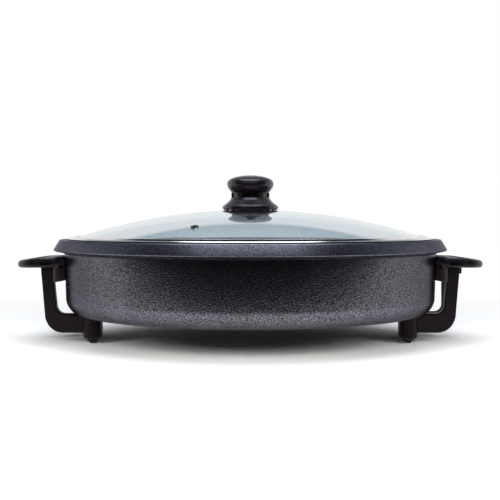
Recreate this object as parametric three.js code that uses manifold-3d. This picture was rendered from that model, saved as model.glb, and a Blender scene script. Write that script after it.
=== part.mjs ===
// Electric pizza maker: a round cast pan with a heater under its floor, two loop handles,
// four legs and a glass lid that lifts off. Millimetres, +Z up, the table is z = 0 and the
// pan's axis is the Z axis. The socket for the thermostat plug is on the +X side.
import * as THREE from 'three';
import { mergeVertices } from 'three/addons/utils/BufferGeometryUtils.js';
import Module from 'manifold-3d';

// Fits and shared values
const clearance = 0.3;
const overrun = 2;
const weldDistance = 0.0001;
const ringSteps = 64;
const smallSteps = 16;
const quarterTurn = Math.PI / 2;
const fullTurn = Math.PI * 2;

// Pan
const wallRadius = 200;
const wallTaper = 1.6;
const wallThickness = 4;
const floorThickness = 5.5;
const cornerRadius = 18;
const bottomHeight = 31;
const panHeight = 79.3;
const rimTopWidth = 8.7;
const rimEdgeBevel = 0.9;
const skirtOverhang = 11.3;
const skirtHeight = 11;
const skirtLip = 0.8;
const skirtRootHeight = 14.6;
const skirtRootWidth = 1.8;

// Heater channel and heater under the floor
const heaterRadius = 97;
const heaterDiameter = 6.1;
const channelGap = 0.55;
const channelWall = 3;
const channelDepth = 5.6;
const heaterSides = 6;
const heaterSteps = 110;
const tailBend = 11;
const tailReach = 13.3;
const sealHeight = 3.4;
const sealStep = 0.7;

// Socket for the thermostat plug
const shroudWall = 2;
const shroudHeight = 14.7;
const shroudBack = 6.6;
const shroudFloorShort = 2;
const hoodReach = 1.8;
const hoodHeight = 7.8;
const blockThickness = 4;
const pinDiameter = 4.4;
const pinGap = 2.6;
const pinMargin = 2.8;
const pinShort = 2.5;
const pinStart = 1.2;
const studDiameter = 2.4;
const studLength = 4.15;
const guideDiameter = 7.4;
const guideBore = 5;
const guideReach = 15;
const earthWidth = 7;
const earthThickness = 0.8;
const earthReach = 21;

// Handles
const handleOverhang = 24;
const gripStep = 0.4;
const gripThickness = 10.6;
const gripRound = 3.9;
const gripDroop = 3;
const gripTipDroop = 1.5;
const gripBar = 11.3;
const holeReach = 14.2;
const armWidth = 15;
const shelfMargin = 0.1;
const blockReach = 8.6;
const blockDrop = 18;
const blockHeight = 24.5;
const blockRound = 13;
const blockEdge = 1.2;
const blockSlope = 0.19;
const blockSlopeStart = 5.6;
const grooveLength = 21;
const grooveHeight = 4.6;
const grooveDepth = 7;
const grooveInset = 0.6;

// Lugs on the pan wall that carry the handles, and their screws
const lugInset = 11;
const lugThickness = 3;
const lugReach = 4.6;
const lugHeight = 16;
const lugBelow = 9.7;
const lugSink = 3;
const lugScrewInset = 2;
const screwShank = 2.5;
const screwHead = 3.2;
const screwHeadHeight = 1.6;
const screwPocket = 1.6;
const screwLength = 12;

// Legs: the rear pair stands a little further out and lower than the front pair
const legGap = 5;
const legDepth = 11;
const legTopWidth = 13.6;
const legBottomWidth = 12.2;
const legBlockGap = 0.7;
const legTopTaper = 0.4;
const legTaper = 2.5;
const legBarGap = 0.6;
const legBarStep = 0.1;
const legOuterRound = 20;
const legInnerRound = 9;
const legBarRise = 1.2;
const legBarRamp = 4.8;
const legKneeDrop = 3.8;
const legKneeTrim = 1.1;
const legEdge = 0.8;
const rearTopShift = 3;
const rearKneeShift = 10.2;
const rearPostShift = 8.1;
const rearBarDrop = 6.2;

// Foot posts, their screws and rubber tips
const postInset = 32;
const postWidth = 19.6;
const postTailGap = 0.45;
const postBottom = 5.2;
const postEdge = 3.4;
const postScrewShank = 3.6;
const postScrewHead = 7.2;
const postScrewHeadHeight = 2.6;
const postScrewGap = 1.6;
const postScrewBite = 2.4;
const tipPlugLength = 5.6;
const tipFlatRadius = 3;
const tipTopRadius = 6.2;
const tipBulge = 0.7;

// Lid glass
const domeRise = 30.4;
const glassLift = 1.4;
const glassThickness = 4;
const glassInset = 6;
const domeSteps = 9;
const knobHole = 9;
const ventInset = 45.7;
const ventDirection = -1.951;
const ventHole = 6.4;
const ventBore = 3.6;
const ventFlange = 8.2;
const ventFlangeHeight = 0.9;

// Steel band round the glass
const bandOverlap = 1.3;
const bandSeatHeight = 1.6;
const bandEdge = 0.6;
const bandSlant = 0.9;
const bandUndercut = 1.1;
const bandSkin = 1;
const bandLip = 3.6;
const bandRoll = 0.2;

// Knob
const knobGap = 0.2;
const flangeRadius = 30.6;
const flangeHeight = 2.7;
const stepRadius = 25.1;
const stepHeight = 7;
const neckRadius = 20.9;
const neckBaseHeight = 12.2;
const neckTopHeight = 17.8;
const neckCore = 11.5;
const neckPostWidth = 9.3;
const neckFlare = 1.5;
const neckPosts = 8;
const footPins = 16;
const footPinWidth = 3.2;
const footPinHeight = 1.4;
const footPinPlace = 27.4;
const seatRingRadius = 24;
const seatRingWidth = 4;
const seatRingHeight = 1.05;
const capRadius = 25.4;
const capCrease = 25.2;
const capHeight = 18.6;
const capUnderHeight = 8.6;
const capCreaseHeight = 10.2;
const capSpigotRadius = 4;
const capSpigotLength = 3;
const insertRadius = 4.6;
const insertHeight = 12;
const knobScrewShank = 4.4;
const knobScrewHead = 10;
const knobScrewHeadHeight = 3;
const washerDiameter = 19;
const washerHeight = 1.2;
const gasketDiameter = 22;
const gasketHeight = 1.5;
const upperGasketHeight = 0.5;
const upperGasketRadius = 12;

// Heights worked out from the sizes above
const rimTop = bottomHeight + panHeight;
const blockTop = rimTop - blockDrop;
const blockBottom = blockTop - blockHeight;
const blockFoot = blockBottom - blockSlope * (blockReach + blockSlopeStart);
const gripTop = blockTop - gripStep;
const gripBottom = gripTop - gripThickness;
const lugMiddle = blockTop - lugBelow;
const shroudTop = gripBottom - clearance;
const shroudBottom = shroudTop - shroudHeight;
const hoodBottom = shroudTop - hoodHeight;
const pinHeight = shroudBottom + shroudHeight / 2;
const tailTop = pinHeight - studLength - sealHeight - clearance;
const heaterHeight = bottomHeight - clearance - heaterDiameter / 2;
const legBarTop = bottomHeight - legBarGap;
const legBarHeight = legBarTop - rearBarDrop - postBottom + legBarStep;
const legKneeHeight = blockBottom - legKneeDrop;
const postPocketTop = postBottom + tipPlugLength + postScrewHeadHeight + postScrewGap;
const postScrewTop = bottomHeight + postScrewBite;
const lidSeat = rimTop + clearance;
const domeApex = rimTop + glassLift + domeRise;
const knobBottom = domeApex + clearance + upperGasketHeight + knobGap;
const capBottom = knobBottom + neckTopHeight + clearance;

// Places across the handles, worked outwards from the pins
const tailSpacing = guideDiameter + pinDiameter + 2 * pinGap;
const shroudWidth = tailSpacing + pinDiameter + 2 * (shroudWall + pinMargin);
const legPlace = shroudWidth / 2 + legGap + legDepth / 2;
const handleHalfWidth = legPlace + handleOverhang;
const holeHalfWidth = handleHalfWidth - armWidth;
const lugPlace = handleHalfWidth - lugInset;
const postDepth = 2 * (legPlace - tailSpacing / 2 - heaterDiameter / 2 - postTailGap);

// Reaches beyond the wall
const legTopReach = blockReach + legBlockGap;
const legKneeReach = legTopReach - legTopTaper;
const legBottomReach = legKneeReach - legTaper;
const shelfReach = legTopReach + rearTopShift + legTopWidth + shelfMargin;
const gripReach = shelfReach + holeReach + gripBar;
const shroudReach = shelfReach + hoodReach;

// Places along X at the socket
const tailX = wallRadius + tailReach;
const socketBack = wallRadius + shroudBack;

// Radii inside the rim
const postPlace = wallRadius - postInset;
const rimInner = wallRadius - wallThickness;
const glassRadius = rimInner - glassInset;
const bandSeatRadius = rimInner + bandOverlap;
const ventRadius = glassRadius - ventInset;
const domeRadius = (glassRadius ** 2 + domeRise ** 2) / (2 * domeRise);
const domeCentre = domeApex - domeRadius;

const wasm = await Module();
wasm.setup();

// Colour, roughness and metalness of each material
const castCoat = { color: 0x3a3a40, roughness: 0.45, metalness: 0.55 };
const blackPlastic = { color: 0x1b191a, roughness: 0.5, metalness: 0 };
const clearGlass = { color: 0xb9cccf, roughness: 0.05, metalness: 0 };
const brightSteel = { color: 0xc9c7c4, roughness: 0.22, metalness: 1 };
const heaterSteel = { color: 0x6b6660, roughness: 0.5, metalness: 0.9 };
const ceramic = { color: 0xe2ddd0, roughness: 0.6, metalness: 0 };
const brass = { color: 0xb58a3c, roughness: 0.3, metalness: 1 };
const blackSteel = { color: 0x383838, roughness: 0.4, metalness: 1 };
const blackRubber = { color: 0x141414, roughness: 0.85, metalness: 0 };
const silicone = { color: 0xd8d4cc, roughness: 0.7, metalness: 0 };

// Turns a closed geometry into a solid that can be cut and joined
function solidOf(geometry) {
  const bare = geometry.clone();
  bare.deleteAttribute('normal');
  bare.deleteAttribute('uv');
  const welded = mergeVertices(bare, weldDistance);
  const corners = Array.from(welded.index.array);
  const triangles = [];
  for (let i = 0; i < corners.length; i += 3) {
    const [a, b, c] = corners.slice(i, i + 3);
    if (a !== b && b !== c && c !== a) triangles.push(a, b, c);
  }
  return new wasm.Manifold(new wasm.Mesh({
    numProp: 3,
    vertProperties: new Float32Array(welded.attributes.position.array),
    triVerts: new Uint32Array(triangles),
  }));
}

// Turns a solid back into a geometry
function geometryOf(solid) {
  const mesh = solid.getMesh();
  const geometry = new THREE.BufferGeometry();
  geometry.setAttribute('position', new THREE.BufferAttribute(mesh.vertProperties, 3));
  geometry.setIndex(new THREE.BufferAttribute(mesh.triVerts, 1));
  return geometry;
}

// Makes one named mesh
function piece(name, solid, look) {
  const mesh = new THREE.Mesh(geometryOf(solid), new THREE.MeshStandardMaterial(look));
  mesh.name = name;
  return mesh;
}

// Points on an arc, angles in radians, from the first angle to the last
function arc(centreX, centreY, radius, from, to, steps) {
  const points = [];
  for (let i = 0; i <= steps; i += 1) {
    const angle = from + (to - from) * i / steps;
    points.push([centreX + radius * Math.cos(angle), centreY + radius * Math.sin(angle)]);
  }
  return points;
}

// Solid of revolution about Z from radius and height pairs, counter-clockwise
function turned(profile, steps = ringSteps) {
  const points = profile.map(([r, z]) => new THREE.Vector2(r, z));
  return solidOf(new THREE.LatheGeometry(points, steps).rotateX(quarterTurn));
}

// Ring or disc with a rectangular section
function ring(inner, outer, bottom, top, steps = smallSteps) {
  const start = [inner, bottom];
  return turned([start, [outer, bottom], [outer, top], [inner, top], start], steps);
}

// Box from its lowest to its highest corner
function block(x0, y0, z0, x1, y1, z1) {
  const box = new THREE.BoxGeometry(x1 - x0, y1 - y0, z1 - z0);
  return solidOf(box.translate((x0 + x1) / 2, (y0 + y1) / 2, (z0 + z1) / 2));
}

// Round bar between two heights
function bar(radius, bottom, top, steps = smallSteps) {
  return ring(0, radius, bottom, top, steps);
}

// Outline drawn in X and Y, raised from one height to another, with rounded edges
function raised(outline, bottom, top, edge, holes = [], edgeSteps = 1) {
  const shape = new THREE.Shape(outline.map(([x, y]) => new THREE.Vector2(x, y)));
  for (const hole of holes) {
    shape.holes.push(new THREE.Path(hole.map(([x, y]) => new THREE.Vector2(x, y))));
  }
  const geometry = new THREE.ExtrudeGeometry(shape, {
    depth: top - bottom - 2 * edge,
    bevelEnabled: edge > 0,
    bevelThickness: edge,
    bevelSize: edge,
    bevelOffset: -edge,
    bevelSegments: edgeSteps,
    steps: 1,
  });
  return solidOf(geometry.translate(0, 0, bottom + edge));
}

// Outer radius of the pan wall at a height between the corner and the rim
function wallAt(height) {
  const low = bottomHeight + cornerRadius;
  const share = (height - low) / (rimTop - skirtRootHeight - low);
  return wallRadius - wallTaper * (1 - share);
}

// Space that the pan wall needs, with a clearance all round
function wallSpace() {
  const low = bottomHeight + cornerRadius;
  const bottomRadius = wallAt(low) + clearance;
  const topRadius = wallAt(rimTop) + clearance;
  return turned([[0, low], [bottomRadius, low], [topRadius, rimTop], [0, rimTop]]);
}

// Outline of the pan's section, from the axis under the floor round to the axis inside
function panProfile() {
  const low = bottomHeight + cornerRadius;
  const lowRadius = wallRadius - wallTaper;
  const channelHalf = heaterDiameter / 2 + channelGap;
  const channelInner = heaterRadius - channelHalf;
  const channelOuter = heaterRadius + channelHalf;
  const ridgeBottom = bottomHeight - channelDepth;
  const tip = wallRadius + skirtOverhang;
  const skirtBottom = rimTop - skirtHeight;
  const rimOuter = rimInner + rimTopWidth;
  const innerCorner = cornerRadius - wallThickness;
  const floorTop = bottomHeight + floorThickness;
  const innerLow = lowRadius - wallThickness;
  return [
    [0, bottomHeight],
    [channelInner - channelWall, bottomHeight],
    [channelInner - channelWall, ridgeBottom],
    [channelInner, ridgeBottom],
    [channelInner, bottomHeight],
    [channelOuter, bottomHeight],
    [channelOuter, ridgeBottom],
    [channelOuter + channelWall, ridgeBottom],
    [channelOuter + channelWall, bottomHeight],
    ...arc(lowRadius - cornerRadius, low, cornerRadius, -quarterTurn, 0, 6),
    [wallRadius, rimTop - skirtRootHeight],
    [wallRadius + skirtRootWidth, skirtBottom - skirtLip - skirtRootWidth],
    [tip - 2 * skirtLip, skirtBottom - skirtLip],
    [tip - skirtLip / 2, skirtBottom - skirtLip / 2],
    [tip, skirtBottom + skirtLip / 2],
    [rimOuter + rimEdgeBevel, rimTop - rimEdgeBevel],
    [rimOuter, rimTop],
    [rimInner, rimTop],
    ...arc(innerLow - innerCorner, floorTop + innerCorner, innerCorner, 0, -quarterTurn, 4),
    [0, floorTop],
  ];
}

// One of the four lugs cast on the wall; side is the X sign, end is the Y sign
function lug(side, end, grow) {
  const middle = end * lugPlace;
  const half = lugThickness / 2 + grow;
  const inner = lugInner() - grow;
  const outer = wallRadius + lugReach + grow;
  const [x0, x1] = side > 0 ? [inner, outer] : [-outer, -inner];
  const low = lugMiddle - lugHeight / 2 - grow;
  return block(x0, middle - half, low, x1, middle + half, low + lugHeight + 2 * grow);
}

// Where a lug starts inside the wall
function lugInner() {
  return Math.sqrt(wallRadius ** 2 - lugPlace ** 2) - lugSink;
}

// Where a lug's screw crosses it, measured along X
function lugScrewX(side) {
  return side * (wallRadius - lugScrewInset);
}

// Bar along Y for a lug screw or the hole that it goes through
function crossBar(radius, side, end, from, length) {
  const bore = bar(radius, 0, length, smallSteps / 2);
  const turn = end > 0 ? 90 : -90;
  return bore.rotate([turn, 0, 0]).translate([lugScrewX(side), end * from, lugMiddle]);
}

const ends = [['front', -1], ['rear', 1]];
const sides = [['left', -1], ['right', 1]];

// Place of a foot post in X, measured from the pan's axis
function postX(end) {
  return postPlace + (end > 0 ? rearPostShift : 0);
}

// Pan with its heater channel, handle lugs and blind holes for the leg screws
function panBody() {
  let pan = turned(panProfile());
  const gateHalf = tailSpacing / 2 + tailBend;
  const gateEnd = heaterRadius + heaterDiameter + channelWall + overrun;
  const ridgeBottom = bottomHeight - channelDepth - overrun;
  pan = pan.subtract(block(heaterRadius, -gateHalf, ridgeBottom, gateEnd, gateHalf, bottomHeight));
  for (const [, side] of sides) {
    for (const [, end] of ends) {
      const hole = crossBar(screwShank / 2 + clearance, side, end, lugPlace + lugThickness,
        2 * lugThickness);
      pan = pan.add(lug(side, end, 0).subtract(hole));
      const screwHole = bar(postScrewShank / 2 + clearance, bottomHeight - overrun, postScrewTop + clearance);
      pan = pan.subtract(screwHole.translate([side * postX(end), end * legPlace, 0]));
    }
  }
  return piece('pan_body', pan, castCoat);
}

// Route of the heater: nearly a full loop, then two tails out and up the wall
function heaterRoute() {
  const height = heaterHeight;
  const half = tailSpacing / 2;
  const bend = tailBend;
  const gap = Math.asin((half + bend) / (heaterRadius + bend));
  const points = [];
  const bendCentreX = (heaterRadius + bend) * Math.cos(gap);
  const start = [];
  for (const [x, z] of arc(tailX - bend, height + bend, bend, 0, -quarterTurn, 4)) {
    start.push([x, half, z]);
  }
  for (const [x, y] of arc(bendCentreX, half + bend, bend, -quarterTurn, gap - Math.PI, 4)) {
    start.push([x, y, height]);
  }
  points.push([tailX, half, tailTop], [tailX, half, (tailTop + height) / 2], ...start);
  for (const [x, y] of arc(0, 0, heaterRadius, gap, fullTurn - gap, 48).slice(1, -1)) {
    points.push([x, y, height]);
  }
  points.push(...start.reverse().map(([x, y, z]) => [x, -y, z]));
  points.push([tailX, -half, (tailTop + height) / 2], [tailX, -half, tailTop]);
  return points.map(([x, y, z]) => new THREE.Vector3(x, y, z));
}

// Tubular heater
function heater() {
  const outline = arc(0, 0, heaterDiameter / 2, 0, fullTurn, heaterSides).slice(0, -1);
  const shape = new THREE.Shape(outline.map(([x, y]) => new THREE.Vector2(x, y)));
  const path = new THREE.CatmullRomCurve3(heaterRoute());
  const tube = new THREE.ExtrudeGeometry(shape, {
    steps: heaterSteps, bevelEnabled: false, extrudePath: path,
  });
  return piece('heating_element', solidOf(tube), heaterSteel);
}

// Bar along X from one place to another
function lengthBar(radius, from, to, y, z) {
  return bar(radius, from, to).rotate([0, 90, 0]).translate([0, y, z]);
}

// Ceramic seal and terminal pin on one heater tail
function terminal(name, end) {
  const y = end * tailSpacing / 2;
  const sealBottom = tailTop + clearance;
  const sealTop = sealBottom + sealHeight;
  const seal = bar((heaterDiameter - sealStep) / 2, sealBottom, sealTop).translate([tailX, y, 0]);
  const stud = bar(studDiameter / 2, sealTop + clearance, pinHeight).translate([tailX, y, 0]);
  const pinEnd = wallRadius + shelfReach - pinShort;
  const pin = lengthBar(pinDiameter / 2, socketBack - pinStart, pinEnd, y, pinHeight);
  return [
    piece(`heater_end_seal_${name}`, seal, ceramic),
    piece(`terminal_pin_${name}`, pin.add(stud), brightSteel),
  ];
}

// Outline of the shroud or its bore, in Y and Z, as a box along X
function shroudBox(x0, x1, inset) {
  const half = shroudWidth / 2 - inset;
  return block(x0, -half, shroudBottom + inset, x1, half, shroudTop - inset);
}

// Shroud round the pins, with a hood over its mouth
function socketShroud() {
  const mouth = wallRadius + shroudReach;
  const bore = shroudBox(socketBack - overrun, mouth + overrun, shroudWall);
  const half = shroudWidth / 2 + overrun;
  const cut = block(wallRadius + shelfReach - shroudFloorShort, -half, shroudBottom - overrun,
    mouth + overrun, half, hoodBottom);
  let shell = shroudBox(socketBack, mouth, 0).subtract(bore).subtract(cut);
  for (const [, end] of ends) {
    const hole = bar((heaterDiameter - sealStep) / 2 + clearance, shroudBottom - overrun,
      shroudBottom + shroudWall + overrun);
    shell = shell.subtract(hole.translate([tailX, end * tailSpacing / 2, 0]));
  }
  return piece('socket_shroud', shell, blackPlastic);
}

// Insulating block at the back of the socket
function terminalBlock() {
  const front = socketBack + blockThickness;
  let plate = shroudBox(socketBack, front, shroudWall + clearance);
  const from = socketBack - overrun;
  const to = front + overrun;
  for (const [, end] of ends) {
    const y = end * tailSpacing / 2;
    plate = plate.subtract(lengthBar(pinDiameter / 2 + clearance, from, to, y, pinHeight));
  }
  const guideHole = lengthBar(guideDiameter / 2 + clearance, from, to, 0, pinHeight);
  const half = earthWidth / 2 + clearance;
  const slotBottom = shroudBottom + shroudWall;
  const slotTop = slotBottom + 3 * clearance + earthThickness;
  const slot = block(from, -half, slotBottom - overrun, to, half, slotTop);
  return piece('terminal_block', plate.subtract(guideHole).subtract(slot), ceramic);
}

// Tube that leads the thermostat's probe to the pan wall
function probeGuide() {
  const from = wallAt(pinHeight) + clearance;
  const to = wallRadius + guideReach;
  const tube = lengthBar(guideDiameter / 2, from, to, 0, pinHeight);
  const bore = lengthBar(guideBore / 2, from + shroudWall, to + overrun, 0, pinHeight);
  return piece('probe_guide', tube.subtract(bore), brightSteel);
}

// Earth strip along the floor of the socket
function earthContact() {
  const half = earthWidth / 2;
  const bottom = shroudBottom + shroudWall + clearance;
  const from = wallAt(bottom) + 2 * clearance;
  const strip = block(from, -half, bottom, wallRadius + earthReach, half, bottom + earthThickness);
  return piece('earth_contact', strip, brightSteel);
}

// Mirrors an outline in X for the left side and keeps it counter-clockwise
function onSide(outline, side) {
  return side > 0 ? outline : outline.map(([x, y]) => [-x, y]).reverse();
}

// Plan of the loop: straight arms, then a half ellipse
function gripOutline() {
  const straight = wallRadius + shelfReach;
  const reach = gripReach - shelfReach;
  const points = [[wallRadius - blockReach, -handleHalfWidth]];
  for (const [c, s] of arc(0, 0, 1, -quarterTurn, quarterTurn, 20)) {
    points.push([straight + reach * c, handleHalfWidth * s]);
  }
  points.push([wallRadius - blockReach, handleHalfWidth]);
  return points;
}

// Finger hole in the loop
function gripHole() {
  const straight = wallRadius + shelfReach;
  const reach = gripReach - shelfReach - gripBar;
  return arc(0, 0, 1, -quarterTurn, quarterTurn, 14)
    .map(([c, s]) => [straight + reach * c, holeHalfWidth * s]);
}

// Lowers the top of the loop towards its tip, and the whole tip beyond the socket
function drooped(loop) {
  const start = wallRadius + blockReach;
  const end = wallRadius + gripReach;
  const tipStart = wallRadius + shroudReach;
  return loop.warp((point) => {
    const place = Math.abs(point[0]);
    const share = Math.max(0, place - start) / (end - start);
    const tipShare = Math.max(0, place - tipStart) / (end - tipStart);
    const rise = (point[2] - gripBottom) / gripThickness;
    point[2] -= gripDroop * share * rise + gripTipDroop * tipShare;
  });
}

// Block that hugs the pan wall under and behind the loop
function gripBlock(side) {
  const inner = Math.sqrt(wallRadius ** 2 - handleHalfWidth ** 2) - overrun;
  const outer = wallRadius + blockReach;
  const turn = handleHalfWidth - blockRound;
  const outline = [
    [inner, -handleHalfWidth],
    ...arc(outer - blockRound, -turn, blockRound, -quarterTurn, 0, 5),
    ...arc(outer - blockRound, turn, blockRound, 0, quarterTurn, 5),
    [inner, handleHalfWidth],
  ];
  const lean = Math.atan(blockSlope);
  const low = (outer - blockReach - blockSlopeStart) * Math.sin(lean) + blockBottom * Math.cos(lean);
  return raised(onSide(outline, side), blockFoot, blockTop, blockEdge)
    .trimByPlane([side * Math.sin(lean), 0, Math.cos(lean)], low);
}

// Tapered groove in the side of an arm, deepest beside the block
function armGroove(side, end) {
  const start = wallRadius + blockReach;
  const outline = [
    [start, handleHalfWidth + overrun],
    [start, handleHalfWidth - grooveDepth],
    [start + grooveLength, handleHalfWidth],
    [start + grooveLength, handleHalfWidth + overrun],
  ].map(([x, y]) => [side * x, end * y]);
  const top = gripTop - gripThickness / 2 + grooveHeight / 2 - grooveInset / 2;
  return raised(outline, top - grooveHeight, top, 0);
}

// Loop handle with its block; the right one is open below for the socket
function handle(name, side) {
  let body = raised(onSide(gripOutline(), side), gripBottom, gripTop, gripRound,
    [onSide(gripHole(), side)], 3);
  body = drooped(body).add(gripBlock(side)).subtract(wallSpace());
  for (const [, end] of ends) {
    body = body.subtract(armGroove(side, end)).subtract(lug(side, end, clearance));
    const reach = handleHalfWidth - screwPocket;
    const pocket = crossBar(screwHead / 2 + clearance, side, end, handleHalfWidth + overrun,
      screwPocket + screwHeadHeight + overrun + clearance);
    const hole = crossBar(screwShank / 2 + clearance, side, end, reach, screwLength + 2 * clearance);
    body = body.subtract(pocket).subtract(hole);
  }
  if (side > 0) {
    const half = shroudWidth / 2 + clearance;
    const tunnel = block(wallRadius - blockReach, -half, blockFoot - overrun,
      wallRadius + blockReach + overrun, half, gripBottom);
    body = body.subtract(tunnel);
  }
  return piece(name, body, blackPlastic);
}

// Screws that hold the handles on their lugs
function handleScrews() {
  const screws = [];
  for (const [sideName, side] of sides) {
    for (const [endName, end] of ends) {
      const start = handleHalfWidth - screwPocket;
      const head = crossBar(screwHead / 2, side, end, start, screwHeadHeight);
      const shank = crossBar(screwShank / 2, side, end, start, screwLength);
      screws.push(piece(`handle_screw_${sideName}_${endName}`, head.add(shank), blackSteel));
    }
  }
  return screws;
}

// Outline of a leg in X and Z: down from the handle, round the corner, in to the post
function legOutline(end) {
  const rear = end > 0;
  const top = gripBottom - clearance;
  const barTop = legBarTop - (rear ? rearBarDrop : 0);
  const barBottom = barTop - legBarHeight;
  const riseTop = barTop + legBarRise;
  const topIn = wallRadius + legTopReach + (rear ? rearTopShift : 0);
  const kneeIn = wallRadius + legKneeReach + (rear ? rearKneeShift : 0);
  const lowIn = wallRadius + legBottomReach + (rear ? rearKneeShift : 0);
  const lowOut = lowIn + legBottomWidth;
  const kneeOut = kneeIn + legTopWidth - legKneeTrim;
  const centre = postX(end);
  return [
    [centre, barBottom],
    ...arc(lowOut - legOuterRound, barBottom + legOuterRound, legOuterRound, -quarterTurn, 0, 6),
    [kneeOut, legKneeHeight],
    [topIn + legTopWidth, top],
    [topIn, top],
    [kneeIn, legKneeHeight],
    ...arc(lowIn - legInnerRound, riseTop + legInnerRound, legInnerRound, 0, -quarterTurn, 4),
    [centre + postWidth, riseTop],
    [centre + postWidth - legBarRamp, barTop],
    [centre, barTop],
  ];
}

// Foot post, an oval bar from just under the pan down to the rubber tip
function footPost(side, end) {
  const radius = postWidth / 2;
  const half = (postDepth - postWidth) / 2;
  const outline = [
    ...arc(0, half, radius, 0, Math.PI, 8),
    ...arc(0, -half, radius, Math.PI, fullTurn, 8),
  ];
  const top = bottomHeight - clearance;
  const post = raised(outline, postBottom, top + postEdge, postEdge, [], 2).trimByPlane([0, 0, -1], -top);
  const pocket = bar(postScrewHead / 2 + clearance, postBottom - overrun, postPocketTop);
  const hole = bar(postScrewShank / 2 + clearance, postPocketTop - overrun, bottomHeight + overrun);
  const place = [side * postX(end), end * legPlace, 0];
  return { post: post.translate(place), cuts: pocket.add(hole).translate(place) };
}

// Leg with its foot post
function leg(sideName, side, endName, end) {
  const plate = raised(onSide(legOutline(end), side), -legDepth / 2, legDepth / 2, legEdge);
  const upright = plate.rotate([90, 0, 0]).translate([0, end * legPlace, 0]);
  const { post, cuts } = footPost(side, end);
  return piece(`${sideName}_${endName}_leg`, upright.add(post).subtract(cuts), blackPlastic);
}

// Screw from a foot post up into the pan
function legScrew(sideName, side, endName, end) {
  const headTop = postPocketTop - clearance;
  const head = bar(postScrewHead / 2, headTop - postScrewHeadHeight, headTop);
  const shank = bar(postScrewShank / 2, headTop - postScrewHeadHeight / 2, postScrewTop);
  const screw = head.add(shank).translate([side * postX(end), end * legPlace, 0]);
  return piece(`leg_screw_${sideName}_${endName}`, screw, brightSteel);
}

// Rubber tip that plugs into a foot post
function footTip(sideName, side, endName, end) {
  const seat = postBottom - clearance;
  const plug = postScrewHead / 2;
  const profile = [
    [0, 0],
    [tipFlatRadius, 0],
    [tipFlatRadius + tipBulge, tipBulge],
    [tipTopRadius, seat - tipBulge],
    [tipTopRadius, seat],
    [plug, seat],
    [plug, seat + tipPlugLength],
    [0, seat + tipPlugLength],
  ];
  const tip = turned(profile, smallSteps).translate([side * postX(end), end * legPlace, 0]);
  return piece(`${sideName}_${endName}_foot_tip`, tip, blackRubber);
}

// Height of the dome at a radius, for the outer face or the face under it
function domeAt(radius, depth = 0) {
  const ball = domeRadius - depth;
  return domeCentre + Math.sqrt(ball ** 2 - radius ** 2);
}

// Places a solid on the vent's axis, square to the glass
function onVent(solid) {
  const tilt = Math.asin(ventRadius / domeRadius) * 180 / Math.PI;
  const turn = ventDirection * 180 / Math.PI;
  return solid.rotate([0, tilt, 0]).translate([ventRadius, 0, domeAt(ventRadius)]).rotate([0, 0, turn]);
}

// Tempered glass dome with holes for the knob and the vent
function glassLid() {
  const outer = [];
  const inner = [];
  for (let i = 0; i <= domeSteps; i += 1) {
    const radius = glassRadius * i / domeSteps;
    outer.unshift([radius, domeAt(radius)]);
    inner.push([radius, domeAt(radius, glassThickness)]);
  }
  let glass = turned([...inner, ...outer]);
  const deep = domeApex - glassThickness - overrun;
  glass = glass.subtract(bar(knobHole / 2, deep, domeApex + overrun));
  const ventCut = bar(ventHole / 2 + clearance, -glassThickness - overrun, overrun);
  return piece('glass_lid', glass.subtract(onVent(ventCut)), clearGlass);
}

// Grommet in the vent hole
function ventGrommet() {
  const profile = [
    [ventBore / 2, -glassThickness - ventFlangeHeight],
    [ventFlange / 2, -glassThickness - ventFlangeHeight],
    [ventFlange / 2, -glassThickness - clearance],
    [ventHole / 2, -glassThickness - clearance],
    [ventHole / 2, clearance],
    [ventFlange / 2, clearance],
    [ventFlange / 2, ventFlangeHeight],
    [ventBore / 2, ventFlangeHeight],
    [ventBore / 2, -glassThickness - ventFlangeHeight],
  ];
  return piece('vent_grommet', onVent(turned(profile, smallSteps)), blackRubber);
}

// Rolled steel band: a flange on the pan's rim and a channel round the glass edge
function lidBand() {
  const wall = glassRadius + clearance;
  const lipRadius = glassRadius - bandLip;
  const under = domeAt(glassRadius, glassThickness) - clearance;
  const underLip = domeAt(lipRadius, glassThickness) - clearance;
  const overLip = domeAt(lipRadius) + clearance;
  const overWall = domeAt(glassRadius) + clearance;
  const seatTop = lidSeat + bandSeatHeight;
  const start = [lipRadius, underLip - bandSkin];
  return piece('lid_rim_band', turned([
    start,
    [wall + bandSkin, under - bandSkin],
    [wall + bandSkin, lidSeat],
    [bandSeatRadius - bandUndercut, lidSeat],
    [bandSeatRadius, lidSeat + bandEdge],
    [bandSeatRadius - bandSlant, seatTop],
    [wall + bandSkin, seatTop],
    [wall + bandSkin, overLip + bandSkin - bandRoll],
    [lipRadius, overLip + bandSkin],
    [lipRadius, overLip],
    [wall, overWall],
    [wall, under],
    [lipRadius, underLip],
    start,
  ]), brightSteel);
}

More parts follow.
